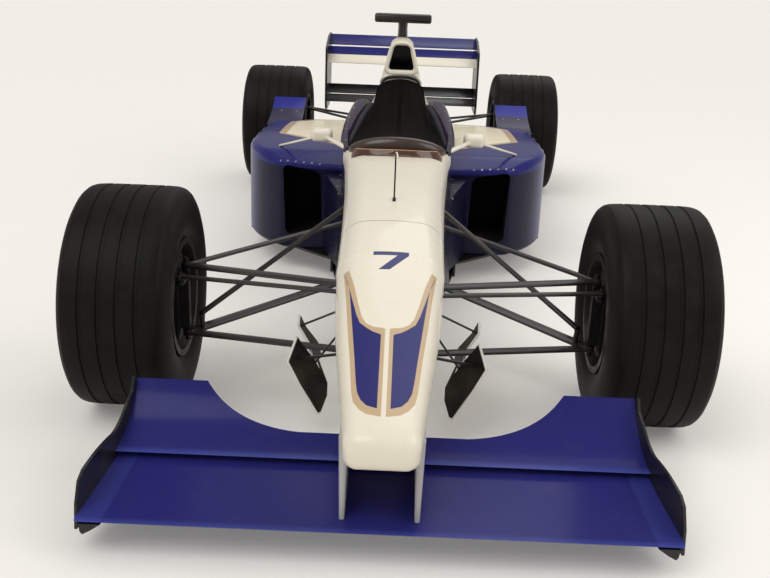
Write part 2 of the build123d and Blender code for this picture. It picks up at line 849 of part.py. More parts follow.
# Front wing: a wide main plane, a cut-away flap, endplates splayed out at the front.
wing_half_front = 684
wing_half_back = 642
wing_plate_front = front(-842)
wing_plate_back = front(-416)
wing_plate_thickness = 7
wing_main_leading = (front(-862), 88)
wing_main_trailing = (front(-548), 112)
wing_flap_leading = (front(-590), 124)
wing_flap_mid = (front(-505), 152)
wing_flap_trailing = (front(-418), 246)
flap_thickness = 7
wing_blank_half = 760
wing_splay = (wing_half_front - wing_half_back) / (wing_plate_back - wing_plate_front)


def wing_half(y):
    """Half width between the inner faces of the splayed endplates at a row Y."""
    return wing_half_front - (y - wing_plate_front) * wing_splay


def front_wing_ends():
    """Trims the open part to the inner faces of the splayed endplates."""
    y_front = front(-front_overhang) - wing_plate_thickness
    y_back = wing_plate_back + wing_plate_thickness
    with BuildSketch(Plane.XY) as plan:
        with BuildLine():
            Polyline(
                (wing_half(y_front), y_front),
                (wing_half(y_back), y_back),
                (-wing_half(y_back), y_back),
                (-wing_half(y_front), y_front),
                (wing_half(y_front), y_front),
            )
        make_face()
    extrude(plan.sketch, amount=400, mode=Mode.INTERSECT)


with BuildPart() as front_wing_main:
    with BuildSketch(side_plane(-wing_blank_half)) as main_section:
        wing_profile(wing_main_leading, wing_main_trailing, 18, 6)
    extrude(amount=wing_blank_half * 2)
    front_wing_ends()
save(front_wing_main.part, "front_wing_main")

# The flap's trailing edge steps forward behind the nose. Columns: X, row Y.
flap_corner = (462, wing_flap_trailing[0])
flap_curve_mid = (352, front(-474))
flap_curve_end = (214, front(-503))
with BuildPart() as front_wing_flap:
    with BuildSketch(side_plane(-wing_blank_half)):
        with BuildLine():
            ThreePointArc(wing_flap_leading, wing_flap_mid, wing_flap_trailing)
            Line(wing_flap_trailing, (wing_flap_trailing[0], wing_flap_trailing[1] - flap_thickness))
            ThreePointArc(
                (wing_flap_trailing[0], wing_flap_trailing[1] - flap_thickness),
                (wing_flap_mid[0], wing_flap_mid[1] - flap_thickness),
                (wing_flap_leading[0], wing_flap_leading[1] - flap_thickness),
            )
            Line((wing_flap_leading[0], wing_flap_leading[1] - flap_thickness), wing_flap_leading)
        make_face()
    extrude(amount=wing_blank_half * 2)
    front_wing_ends()
    with BuildSketch(Plane.XY):
        with BuildLine():
            Line((0, flap_curve_end[1]), flap_curve_end)
            ThreePointArc(flap_curve_end, flap_curve_mid, flap_corner)
            Line(flap_corner, (flap_corner[0], flap_corner[1] + 60))
            Line((flap_corner[0], flap_corner[1] + 60), (0, flap_corner[1] + 60))
            Line((0, flap_corner[1] + 60), (0, flap_curve_end[1]))
        make_face()
        mirror(about=Plane.YZ)
    extrude(amount=400, mode=Mode.SUBTRACT)
save(front_wing_flap.part, "front_wing_flap")

with BuildPart() as front_endplates:
    splay = Vector(wing_half_back - wing_half_front, wing_plate_back - wing_plate_front, 0)
    plate_length = splay.length
    plate_plane = Plane(
        origin=(wing_half_front, wing_plate_front, 0), x_dir=splay, z_dir=splay.cross(Vector(0, 0, 1))
    )
    with BuildSketch(plate_plane) as wing_plate:
        with BuildLine():
            Polyline(
                (plate_length, 240),
                (plate_length, 62),
                (16, 50),
                (24, 110),
                (46, 158),
                (74, 172),
            )
            ThreePointArc((74, 172), (160, 178), (250, 173))
            ThreePointArc((250, 173), (306, 185), (350, 209))
            Polyline((350, 209), (391, 224), (406, 257), (plate_length, 240))
        make_face()
    extrude(amount=wing_plate_thickness)
    both_sides()
save(front_endplates.part, "front_endplates")

# Two thin pylons carry the front wing under the nose.
pylon_x = 86
pylon_wide = 22
pylon_narrow = 12
pylon_front = front(-800)
pylon_back = front(-560)
with BuildPart() as pylon_blanks:
    with BuildSketch(Plane.XY.offset(80)):
        with Locations((pylon_x, (pylon_front + pylon_back) / 2)):
            SlotOverall(pylon_back - pylon_front, pylon_narrow, rotation=90)
    with BuildSketch(Plane.XY.offset(290)):
        with Locations((pylon_x, (pylon_front + pylon_back) / 2)):
            SlotOverall(pylon_back - pylon_front, pylon_wide, rotation=90)
    loft(ruled=True)
    both_sides()
    add(nose_blank.part, mode=Mode.SUBTRACT)
    add(front_wing_main.part, mode=Mode.SUBTRACT)
    add(front_wing_flap.part, mode=Mode.SUBTRACT)
# What lies under the wing is dropped: the two tall solids are the pylons.
with BuildPart() as wing_pylons:
    add(pylon_blanks.part.solids().sort_by(SortBy.VOLUME)[-2:])
save(wing_pylons.part, "wing_pylons")

# Turning vanes ahead of the lower wishbones: one curved plan band each side, leaned two ways from
# a fold, hung from the nose by two stays. Leans are the sideways and rearward shift per unit height.
vane_thickness = 5
vane_fold_z = 214
vane_high = 58
vane_low = 112
vane_high_lean = (-0.30, 0.80)
vane_low_lean = (0.82, 0.62)
vane_front = (276, front(-200))
vane_mid = (254, front(-152))
vane_rear = (208, front(-118))
vane_stay = (12, 6)
with BuildPart() as turning_vanes:
    for vane_height, (lean_x, lean_y) in ((vane_high, vane_high_lean), (-vane_low, vane_low_lean)):
        with BuildSketch(Plane.XY.offset(vane_fold_z)):
            with BuildLine() as vane_line:
                ThreePointArc(vane_front, vane_mid, vane_rear)
            trace(vane_line.edges(), vane_thickness)
        lean = Vector(lean_x, lean_y, 1)
        extrude(amount=vane_height * lean.length, dir=lean)
    rod((vane_mid[0] - 1, vane_mid[1], vane_fold_z + 2), (110, front(-330), 300), *vane_stay)
    rod((vane_rear[0] + 6, vane_rear[1] - 3, vane_fold_z - 2), (110, front(-200), 330), *vane_stay)
    both_sides()
    add(nose_blank.part, mode=Mode.SUBTRACT)
    add(tub_outside.part, mode=Mode.SUBTRACT)
save(turning_vanes.part, "turning_vanes")

# Wheels. Each is drawn at its centre height about an axle along X; sign is the side of the car.


def make_tyre(sign, axle_y, radius, width):
    """A tyre on its bead seat, made of flat facets round the axle so that its mesh stays light."""
    centre = sign * (overall_width - width) / 2
    bead = width / 2 - bead_inset
    tread = width / 2 - tyre_tread_inset
    bore = rim_radius + bead_seat_gap
    side_radius = (rim_radius + radius) / 2
    half = ((bead, bore), (width / 2, side_radius), (tread, radius))
    profile = [(-across, ring) for across, ring in half] + list(reversed(half))
    facets = []
    for (across, ring), (next_across, next_ring) in zip(profile, profile[1:] + profile[:1]):
        for turn in range(tyre_facets):
            spokes = [Vector(0, 1, 0).rotate(Axis.X, step * 360 / tyre_facets) for step in (turn, turn + 1)]
            corners = [
                Vector(centre + across, axle_y, radius) + spokes[0] * ring,
                Vector(centre + across, axle_y, radius) + spokes[1] * ring,
                Vector(centre + next_across, axle_y, radius) + spokes[1] * next_ring,
                Vector(centre + next_across, axle_y, radius) + spokes[0] * next_ring,
            ]
            facets.append(Face(Wire.make_polygon(corners)))
    return Solid(Shell(facets))


def make_rim(sign, axle_y, radius, width, hub_start, hub_radius, bore):
    """A barrel with a windowed face, a hub and a wheel nut."""
    inner = overall_width / 2 - width + rim_inset
    outer = overall_width / 2 - rim_inset
    face = outer - wheel_face_inset
    nut = face + wheel_face_thickness
    axle = Axis((0, axle_y, radius), (1, 0, 0))
    with BuildPart() as rim:
        with BuildSketch(cross_plane(axle_y)):
            with BuildLine():
                Polyline(
                    (inner, radius + rim_radius + rim_flange_height),
                    (inner + rim_wall, radius + rim_radius + rim_flange_height),
                    (inner + rim_wall, radius + rim_radius),
                    (outer - rim_wall, radius + rim_radius),
                    (outer - rim_wall, radius + rim_radius + rim_flange_height),
                    (outer, radius + rim_radius + rim_flange_height),
                    (outer, radius + rim_radius - rim_wall),
                    (inner, radius + rim_radius - rim_wall),
                    (inner, radius + rim_radius + rim_flange_height),
                )
            make_face()
        revolve(axis=axle)
        with BuildSketch(side_plane(face)):
            with Locations((axle_y, radius)):
                Circle(rim_radius - rim_wall / 2)
        extrude(amount=wheel_face_thickness)
        with BuildSketch(side_plane(face)):
            with Locations((axle_y, radius)):
                with PolarLocations((hub_radius + rim_radius) / 2 + rim_wall, wheel_window_count):
                    RectangleRounded(wheel_window_length, wheel_window_width, wheel_window_width / 3)
        extrude(amount=wheel_face_thickness, mode=Mode.SUBTRACT)
        with BuildSketch(side_plane(hub_start)):
            with Locations((axle_y, radius)):
                Circle(hub_radius)
        extrude(amount=nut - hub_start)
        with BuildSketch(side_plane(nut)):
            with Locations((axle_y, radius)):
                RegularPolygon(wheel_nut_radius, 6)
        extrude(amount=wheel_nut_length)
        if bore:
            with BuildSketch(side_plane(hub_start)):
                with Locations((axle_y, radius)):
                    Circle(bore + running_clearance)
            extrude(amount=face - hub_start, mode=Mode.SUBTRACT)
        if sign < 0:
            mirror(about=Plane.YZ, mode=Mode.REPLACE)
    return rim.part


front_hub_start = kingpin_x + 100
rear_hub_start = kingpin_x + 12
rear_hub_radius = 40
sides = (("left", 1), ("right", -1))
for side, sign in sides:
    save(make_tyre(sign, front_axle_y, front_tyre_radius, front_tyre_width), f"front_tyre_{side}")
    save(make_tyre(sign, rear_axle_y, rear_tyre_radius, rear_tyre_width), f"rear_tyre_{side}")
    front_size = (front_axle_y, front_tyre_radius, front_tyre_width)
    rear_size = (rear_axle_y, rear_tyre_radius, rear_tyre_width)
    save(make_rim(sign, *front_size, front_hub_start, wheel_hub_radius, spindle_radius), f"front_rim_{side}")
    save(make_rim(sign, *rear_size, rear_hub_start, rear_hub_radius, 0), f"rear_rim_{side}")

# Front uprights: they turn on the kingpin and carry the wheel's spindle and a brake duct.
plate_inner = kingpin_x + joint_eye_radius + upright_gap
plate_outer = plate_inner + upright_plate_thickness
spindle_end = overall_width / 2 - rim_inset - wheel_face_inset - 8
arm_width = 20
arm_thickness = 10
arm_top_z = steering_link_z - 15
pin_top_z = steering_link_z + 15
with BuildPart() as front_upright_left:
    with BuildSketch(side_plane(plate_inner)):
        with Locations((front_axle_y, front_tyre_radius)):
            RectangleRounded(upright_plate_width, kingpin_high_z - kingpin_low_z, 20)
    extrude(amount=upright_plate_thickness)
    with BuildSketch(side_plane(plate_outer)):
        with Locations((front_axle_y, front_tyre_radius)):
            Circle(duct_radius)
    extrude(amount=duct_width)
    with BuildSketch(side_plane(plate_outer + duct_width)):
        with Locations((front_axle_y, front_tyre_radius)):
            Circle(spindle_radius)
    extrude(amount=spindle_end - plate_outer - duct_width)
    with BuildSketch(Plane.XY.offset(kingpin_low_z)):
        with Locations((kingpin_x, front_axle_y)):
            Circle(kingpin_radius)
    extrude(amount=kingpin_high_z - kingpin_low_z)
    post_low = lower_joint_z + joint_eye_height / 2 + upright_gap
    post_high = upper_joint_z - joint_eye_height / 2 - upright_gap
    with BuildSketch(Plane.XY.offset(post_low)):
        with Locations(((kingpin_x - kingpin_radius + plate_inner) / 2, front_axle_y)):
            Rectangle(plate_inner - kingpin_x + kingpin_radius, kingpin_radius * 3)
    extrude(amount=post_high - post_low)
    with BuildSketch(Plane.XY.offset(arm_top_z - arm_thickness)):
        with Locations((kingpin_x, front_axle_y - steering_arm / 2)):
            SlotOverall(steering_arm + arm_width, arm_width, rotation=90)
    extrude(amount=arm_thickness)
    with BuildSketch(Plane.XY.offset(arm_top_z)):
        with Locations((kingpin_x, front_axle_y - steering_arm)):
            Circle(steering_pin_radius)
    extrude(amount=pin_top_z - arm_top_z)
save(front_upright_left.part, "front_upright_left")
with BuildPart() as front_upright_right:
    mirror(front_upright_left.part, about=Plane.YZ)
save(front_upright_right.part, "front_upright_right")


def joint_eye(z):
    """Adds a ball joint's eye round the kingpin."""
    with BuildSketch(Plane.XY.offset(z - joint_eye_height / 2)) as eye:
        with Locations((kingpin_x, front_axle_y)):
            Circle(joint_eye_radius)
    extrude(eye.sketch, amount=joint_eye_height)


def kingpin_hole():
    """Bores the open part for the kingpin."""
    with BuildSketch(Plane.XY) as hole:
        with Locations((kingpin_x, front_axle_y)):
            Circle(kingpin_radius + running_clearance)
    extrude(hole.sketch, amount=kingpin_high_z + 100, mode=Mode.SUBTRACT)


# Front wishbones: the leading legs are wide blades, the trailing upper legs are thin. All end at
# the kingpin's plane, clear of the upright that turns beside them.
blade_thickness = 13
leg_room = 1000


def end_at_kingpin():
    """Trims the open part to what lies inboard of the kingpin."""
    with Locations((kingpin_x - leg_room / 2, front_axle_y, lower_joint_z)):
        Box(leg_room, leg_room * 2, leg_room, mode=Mode.INTERSECT)


upper_outer = (kingpin_x, front_axle_y, upper_joint_z)
lower_outer = (kingpin_x, front_axle_y, lower_joint_z)
with BuildPart() as front_upper_wishbones:
    rod(upper_outer, (120, front(-176), 443), 42, blade_thickness)
    rod(upper_outer, (140, front(545), 434), 26, blade_thickness)
    end_at_kingpin()
    joint_eye(upper_joint_z)
    kingpin_hole()
    both_sides()
    add(tub_outside.part, mode=Mode.SUBTRACT)
    add(nose_blank.part, mode=Mode.SUBTRACT)
save(front_upper_wishbones.part, "front_upper_wishbones")

pushrod_foot = (566, front(32), 262)
with BuildPart() as front_lower_wishbones:
    rod(lower_outer, (20, front(-104), 210), 42, blade_thickness)
    rod(lower_outer, (130, front(470), 252), 56, blade_thickness)
    end_at_kingpin()
    rod((560, front(34), lower_joint_z), pushrod_foot, 22, 14)
    joint_eye(lower_joint_z)
    kingpin_hole()
    both_sides()
    add(tub_outside.part, mode=Mode.SUBTRACT)
save(front_lower_wishbones.part, "front_lower_wishbones")

with BuildPart() as front_pushrods:
    rod(pushrod_foot, (140, front(470), 516), 26, 16)
    both_sides()
    add(tub_outside.part, mode=Mode.SUBTRACT)
    add(front_lower_wishbones.part, mode=Mode.SUBTRACT)
save(front_pushrods.part, "front_pushrods")

# The rack slides in a tunnel through the nose, a link runs from each end to a steering arm.
rack_y = front(-262)
rack_z = 447
rack_radius = 14
rack_half = 100
rack_tunnel_depth = 100
link_chord = 24
link_thickness = 11
eye_thickness = 14
with BuildPart() as steering_links:
    with BuildSketch(side_plane(-rack_half)):
        with Locations((rack_y, rack_z)):
            Circle(rack_radius)
    extrude(amount=rack_half * 2)
    for side, sign in sides:
        rod(
            (sign * (rack_half - 20), rack_y, rack_z),
            (sign * kingpin_x, front_axle_y - steering_arm, steering_link_z),
            link_chord,
            link_thickness,
        )
    for side, sign in sides:
        with BuildSketch(Plane.XY.offset(steering_link_z - eye_thickness / 2)):
            with Locations((sign * kingpin_x, front_axle_y - steering_arm)):
                Circle(steering_eye_hole + steering_eye_wall)
        extrude(amount=eye_thickness)
        with BuildSketch(Plane.XY.offset(steering_link_z - eye_thickness)):
            with Locations((sign * kingpin_x, front_axle_y - steering_arm)):
                Circle(steering_eye_hole)
        extrude(amount=eye_thickness * 2, mode=Mode.SUBTRACT)
save(steering_links.part, "steering_links")

rack_fit = 0.3
with BuildPart() as nose_cone:
    add(nose_blank.part)
    with BuildSketch(side_plane(-200)):
        with Locations((rack_y, rack_z)):
            RectangleRounded(rack_tunnel_depth, (rack_radius + rack_fit) * 2, rack_radius)
    extrude(amount=400, mode=Mode.SUBTRACT)
save(nose_cone.part, "nose_cone")

# Rear uprights, fixed for the model: plate, duct drum, bearing bore and lugs for the links.
rear_upper_z = 432
rear_lower_z = 205
lug = 24
toe_link_y = rear(105)
toe_link_z = 300
with BuildPart() as rear_uprights:
    with BuildSketch(side_plane(plate_inner)):
        with Locations((rear_axle_y, (rear_upper_z + rear_lower_z) / 2)):
            RectangleRounded(upright_plate_width, rear_upper_z - rear_lower_z + lug * 1.5, 20)
        with Locations((rear_axle_y, rear_tyre_radius)):
            Circle(rear_hub_radius + 26)
    extrude(amount=upright_plate_thickness)
    with BuildSketch(side_plane(plate_outer)):
        with Locations((rear_axle_y, rear_tyre_radius)):
            Circle(duct_radius)
    extrude(amount=duct_width)
    for lug_y, lug_z in ((rear_axle_y, rear_upper_z), (rear_axle_y, rear_lower_z), (toe_link_y, toe_link_z)):
        with BuildSketch(side_plane(kingpin_x - lug / 2)):
            with Locations((lug_y, lug_z)):
                RectangleRounded(lug, lug, 5)
        extrude(amount=plate_outer - kingpin_x + lug / 2)
    with BuildSketch(side_plane(kingpin_x - lug)):
        with Locations((rear_axle_y, rear_tyre_radius)):
            Circle(rear_hub_radius + running_clearance)
    extrude(amount=200, mode=Mode.SUBTRACT)
    both_sides()
save(rear_uprights.part, "rear_uprights")

# Columns: outer point, inner point, chord.
rear_links = (
    ((kingpin_x, rear(0), rear_upper_z), (60, rear(-335), 374), 34),
    ((kingpin_x, rear(0), rear_upper_z), (60, rear(60), 352), 28),
    ((kingpin_x, rear(0), rear_lower_z), (80, rear(-330), 190), 34),
    ((kingpin_x, rear(0), rear_lower_z), (60, rear(95), 262), 28),
    ((kingpin_x, toe_link_y, toe_link_z), (50, rear(96), 304), 22),
)
with BuildPart() as rear_wishbones:
    for outer_point, inner_point, chord in rear_links:
        rod(outer_point, inner_point, chord, blade_thickness)
    both_sides()
    add(gearbox.part, mode=Mode.SUBTRACT)
    add(rear_uprights.part, mode=Mode.SUBTRACT)
save(rear_wishbones.part, "rear_wishbones")

with BuildPart() as rear_pushrods:
    rod((565, rear(-22), 228), (80, rear(-190), 378), 24, 16)
    both_sides()
    add(gearbox.part, mode=Mode.SUBTRACT)
    add(rear_uprights.part, mode=Mode.SUBTRACT)
    add(rear_wishbones.part, mode=Mode.SUBTRACT)
save(rear_pushrods.part, "rear_pushrods")

# Driveshafts turn with the rear wheels, their inner stubs run in the gearbox outputs.
shaft_radius = 14
boot_radius = 36
boot_length = 48
boot_gap = 6
shaft_inner = output_boss_x - output_bore_depth + 2
for side, sign in sides:
    with BuildPart() as driveshaft:
        # Columns: start and end distance from the middle of the car, radius.
        for start, end, radius in (
            (shaft_inner, output_boss_x + boot_gap, output_bore_radius),
            (output_boss_x + boot_gap, output_boss_x + boot_gap + boot_length, boot_radius),
            (output_boss_x + boot_gap, rear_hub_start - boot_length, shaft_radius),
            (rear_hub_start - boot_length, rear_hub_start, boot_radius),
        ):
            with BuildSketch(side_plane(start)):
                with Locations((rear_axle_y, rear_tyre_radius)):
                    Circle(radius)
            extrude(amount=end - start)
        if sign < 0:
            mirror(about=Plane.YZ, mode=Mode.REPLACE)
    save(driveshaft.part, f"driveshaft_{side}")
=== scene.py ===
"""Open wheel single-seat racing car: fine bodywork, finishes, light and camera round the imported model.

Metres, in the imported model's frame: +X is the driver's left, the nose points to -Y, Z is up from the ground.
Stations are distances behind the front axle, and heights are above the ground.
"""
import json
import math

import bmesh
import bpy
from mathutils import Matrix, Vector


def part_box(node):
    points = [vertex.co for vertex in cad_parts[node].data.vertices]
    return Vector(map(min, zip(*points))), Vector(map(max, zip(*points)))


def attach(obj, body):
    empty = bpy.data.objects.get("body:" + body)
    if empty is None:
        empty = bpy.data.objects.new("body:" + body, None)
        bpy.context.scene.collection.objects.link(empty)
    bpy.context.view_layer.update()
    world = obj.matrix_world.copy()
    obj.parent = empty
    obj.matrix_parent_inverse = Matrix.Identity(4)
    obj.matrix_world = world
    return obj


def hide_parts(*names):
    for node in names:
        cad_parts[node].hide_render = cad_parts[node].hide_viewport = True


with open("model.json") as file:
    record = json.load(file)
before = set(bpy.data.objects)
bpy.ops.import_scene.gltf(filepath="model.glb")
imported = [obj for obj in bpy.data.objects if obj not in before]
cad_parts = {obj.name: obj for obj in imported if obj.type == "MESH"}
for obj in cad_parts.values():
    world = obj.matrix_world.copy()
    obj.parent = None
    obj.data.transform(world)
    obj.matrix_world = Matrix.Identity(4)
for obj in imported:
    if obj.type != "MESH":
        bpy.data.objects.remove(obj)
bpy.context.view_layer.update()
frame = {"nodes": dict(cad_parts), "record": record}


def middle(node):
    """The middle of a CAD node's box."""
    low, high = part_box(node)
    return (low + high) / 2


FRONT_AXLE = middle("front_tyre_left").y
REAR_AXLE = middle("rear_tyre_left").y
SIDES = (("left", 1), ("right", -1))


def front(distance):
    """Y of a station behind the front axle."""
    return FRONT_AXLE + distance


# Finishes


class Field:
    """A number that varies over a surface. Arithmetic on it adds Math nodes to its node tree."""

    def __init__(self, nodes, socket):
        self.nodes = nodes
        self.socket = socket

    def maths(self, operation, *values):
        made = self.nodes.node("ShaderNodeMath", {"operation": operation}, dict(enumerate(values)))
        return Field(self.nodes, made.outputs[0])

    def __add__(self, other):
        return self.maths("ADD", self, other)

    __radd__ = __add__

    def __sub__(self, other):
        return self.maths("SUBTRACT", self, other)

    def __rsub__(self, other):
        return self.maths("SUBTRACT", other, self)

    def __mul__(self, other):
        return self.maths("MULTIPLY", self, other)

    __rmul__ = __mul__

    def __abs__(self):
        return self.maths("ABSOLUTE", self)

    def least(self, other):
        return self.maths("MINIMUM", self, other)

    def most(self, other):
        return self.maths("MAXIMUM", self, other)

    def wave(self, count):
        """A sine wave from -1 to 1, so many a metre."""
        return self.maths("SINE", self * count * math.tau)

    def above(self, edge, blur=0.0006):
        """1 where this is over the edge and 0 under it, with a narrow blend."""
        made = self.nodes.node("ShaderNodeMapRange", {}, {0: self - edge, 1: -blur, 2: blur})
        return Field(self.nodes, made.outputs[0])

    def between(self, low, high, blur=0.0006):
        return self.above(low, blur) * (1 - self.above(high, blur))

    def line(self, corners):
        """A value read off a line through (this, value) corners, all values 0 or more."""
        first, last = corners[0][0], corners[-1][0]
        tallest = max(value for _, value in corners)
        share = (self - first) * (1 / (last - first))
        stops = [((at - first) / (last - first), (value / tallest,) * 3 + (1.0,)) for at, value in corners]
        ramp = self.nodes.node("ShaderNodeValToRGB", {"stops": stops}, {0: share})
        return Field(self.nodes, ramp.outputs[0]) * tallest


class Nodes:
    """A node tree and ways to add to it."""

    def __init__(self, tree):
        self.tree = tree

    def node(self, kind, settings=None, values=None):
        """Adds a node: its settings first, then the values or links of its sockets."""
        made = self.tree.nodes.new(kind)
        for name, value in (settings or {}).items():
            if name == "stops":
                for spot, (at, colour) in enumerate(value):
                    stops = made.color_ramp.elements
                    stop = stops[spot] if spot < 2 else stops.new(at)
                    stop.position = at
                    stop.color = colour
            else:
                setattr(made, name, value)
        for key, value in (values or {}).items():
            self.join(value, made.inputs[key])
        return made

    def join(self, value, socket):
        """Links a value to a socket, or sets it there where it is a constant."""
        if isinstance(value, Field):
            value = value.socket
        if isinstance(value, bpy.types.NodeSocket):
            self.tree.links.new(value, socket)
        else:
            socket.default_value = value

    def ray(self, kind):
        """1 for one kind of ray and 0 for the others."""
        return Field(self, self.node("ShaderNodeLightPath").outputs[f"Is {kind} Ray"])


class Finish(Nodes):
    """A procedural material: its surface shader, the place on the piece, and ways to vary them."""

    def __init__(self, name, **constants):
        self.material = bpy.data.materials.new(name)
        self.material.use_nodes = True
        super().__init__(self.material.node_tree)
        self.shader = self.tree.nodes["Principled BSDF"]
        self.set(**constants)
        self.coordinates = self.node("ShaderNodeTexCoord").outputs["Object"]
        split = self.node("ShaderNodeSeparateXYZ", {}, {0: self.coordinates})
        self.x, self.y, self.z = (Field(self, out) for out in split.outputs)
        self.station = self.y - FRONT_AXLE

    def placed(self, stretch):
        return self.node("ShaderNodeMapping", {}, {0: self.coordinates, "Scale": stretch}).outputs[0]

    def noise(self, scale, detail=3.0, roughness=0.5, stretch=(1, 1, 1)):
        """Soft noise from 0 to 1 with so many spots a metre."""
        values = {"Vector": self.placed(stretch), "Scale": scale, "Detail": detail, "Roughness": roughness}
        return Field(self, self.node("ShaderNodeTexNoise", {}, values).outputs[0])

    def cells(self, scale, feature="F1", stretch=(1, 1, 1)):
        """Distance to the nearest of scattered points, so many a metre."""
        values = {"Vector": self.placed(stretch), "Scale": scale}
        made = self.node("ShaderNodeTexVoronoi", {"feature": feature}, values)
        return Field(self, made.outputs["Distance"])

    def blend(self, share, under, over):
        """One colour over another by a share."""
        return self.node("ShaderNodeMix", {"data_type": "RGBA"}, {0: share, 6: under, 7: over}).outputs[2]

    def set(self, **values):
        for socket, value in values.items():
            self.join(value, self.shader.inputs[socket.replace("_", " ")])

    def gloss(self, specular, coat, haze):
        """The surface's own shine, its clear coat and how hazy that coat is."""
        self.set(Specular_IOR_Level=specular, Coat_Weight=coat, Coat_Roughness=haze)

    def bump(self, height, distance, strength=1.0):
        """Relief of so many metres where the height is 1."""
        made = self.node("ShaderNodeBump", {}, {"Strength": strength, "Distance": distance, "Height": height})
        self.join(made.outputs[0], self.shader.inputs["Normal"])


def rgb(red, green, blue):
    """A colour written as 0 to 255 on a screen, in linear light."""
    linear = []
    for part in (red, green, blue):
        share = part / 255
        linear.append(share / 12.92 if share <= 0.04045 else ((share + 0.055) / 1.055) ** 2.4)
    return (*linear, 1.0)


WHITE = rgb(244, 236, 216)
PANEL_WHITE = rgb(255, 243, 212)
BEIGE = rgb(206, 178, 142)
BLUE = rgb(40, 40, 112)
# The next colour is the blue paint with painted shade, for blue faces that turn away from the light.
SHADED_BLUE = rgb(22, 21, 48)
DUST = rgb(120, 104, 84)
DARK = rgb(14, 13, 13)


def lacquer(finish, colour, flake=0.0, coat=0.4, haze=0.04):
    """Sprayed paint under clear coat: faint tone change, flake, orange peel and a film of dust."""
    tone = finish.noise(2.2, 4.0)
    grain = finish.noise(1100.0, 1.0)
    shade = ((tone - 0.5) * 0.5 + (grain - 0.5) * flake).most(-0.5).least(0.5) + 0.5
    toned = finish.blend(shade * 0.14, colour, DARK)
    dusty = finish.blend(finish.noise(14.0, 6.0, 0.65).above(0.66, 0.12) * 0.05, toned, DUST)
    finish.set(Base_Color=dusty, Roughness=0.22 + tone * 0.10)
    finish.gloss(coat / 2, coat, haze)
    finish.bump(finish.noise(150.0, 2.0), 0.0001, 0.2)
    return finish


def panels(finish, under):
    """The nose panels seen from above: two blue spikes that widen to the tip, each in a beige border."""
    side, station = abs(finish.x), finish.station
    blue_outer = station.line((
        (-0.774, 0.017), (-0.765, 0.039), (-0.747, 0.053), (-0.723, 0.062), (-0.688, 0.067),
        (-0.617, 0.074), (-0.519, 0.085), (-0.391, 0.099), (-0.349, 0.104), (-0.284, 0.120),
    ))
    blue_inner = station.line((
        (-0.774, 0.015), (-0.538, 0.015), (-0.529, 0.034), (-0.517, 0.049), (-0.497, 0.068),
        (-0.465, 0.079), (-0.403, 0.093), (-0.328, 0.108), (-0.284, 0.119),
    ))
    edge_outer = station.line((
        (-0.798, 0.011), (-0.791, 0.038), (-0.775, 0.056), (-0.752, 0.069), (-0.720, 0.075),
        (-0.608, 0.086), (-0.505, 0.098), (-0.392, 0.109), (-0.271, 0.123),
    ))
    edge_inner = station.line((
        (-0.798, 0.0055), (-0.517, 0.0055), (-0.512, 0.035), (-0.499, 0.053), (-0.475, 0.065),
        (-0.422, 0.077), (-0.348, 0.091), (-0.271, 0.109),
    ))
    border = side.between(edge_inner, edge_outer) * station.between(-0.798, -0.272)
    blue = side.between(blue_inner, blue_outer) * station.between(-0.774, -0.284)
    return finish.blend(blue, finish.blend(border, under, BEIGE), BLUE)


def white_body():
    """White nose and tub, with the nose panels and the blue lower flanks behind the front wheels, their blue
    darkened by painted shade.
    """
    finish = Finish("white_bodywork")
    station, height = finish.station, finish.z
    flank_top = station.line((
        (0.30, 0.20), (0.46, 0.38), (0.62, 0.500), (0.80, 0.548), (1.02, 0.560),
        (1.10, 0.66),
    ))
    # The lower flanks: blue paint, darkened by painted shade.
    blue_flank = station.above(0.32) * (1 - (height - flank_top).above(0.0))
    colour = finish.blend(blue_flank, panels(finish, WHITE), SHADED_BLUE)
    bar_of_digit = finish.x.between(-0.048, 0.048) * station.between(-0.214, -0.196)
    slant_at = (station + 0.280) * 0.74 - 0.017
    slant_of_digit = (finish.x - slant_at).between(-0.015, 0.015) * station.between(-0.280, -0.205)
    digit = bar_of_digit.most(slant_of_digit * (1 - finish.x.above(0.048))) * height.above(0.42)
    colour = finish.blend(digit, colour, rgb(38, 44, 110))
    seam = station.between(-0.0015, 0.0015, 0.0004) * 0.8
    return lacquer(finish, finish.blend(seam, colour, DARK))


def carbon(name, weave=190.0, tone=rgb(20, 18, 17), rough=0.34):
    """Twill carbon: two crossed thread directions under a thin lacquer, with dust and rubbed places."""
    finish = Finish(name)
    along = (finish.x + finish.y + finish.z).wave(weave)
    across = (finish.x - finish.y - finish.z).wave(weave)
    threads = along * across * 0.5 + 0.5
    worn = finish.noise(9.0, 5.0, 0.6).above(0.60, 0.14)
    colour = finish.blend(threads * 0.5, tone, rgb(42, 39, 37))
    finish.set(
        Base_Color=finish.blend(worn * 0.16, colour, DUST),
        Roughness=rough + worn * 0.18 + threads * 0.04,
    )
    finish.gloss(0.35, 0.3, 0.14)
    finish.bump(threads, 0.00006, 0.5)
    return finish


def metal(name, tone, rough, streaks=(1, 1, 1), pits=0.0, dark=DARK):
    """Bare or cast metal: fine streaks or pits, a patchy sheen and grime in soft spots."""
    finish = Finish(name, Metallic=0.9)
    fine = finish.noise(420.0, 2.0, 0.6, streaks)
    grime = finish.noise(16.0, 6.0, 0.62).above(0.55, 0.16)
    finish.set(
        Base_Color=finish.blend(grime * 0.45 + (fine - 0.5) * 0.12, tone, dark),
        Roughness=rough + fine * 0.12 + grime * 0.20,
    )
    finish.bump(fine, 0.00012 + pits * 0.0004, 0.5)
    return finish


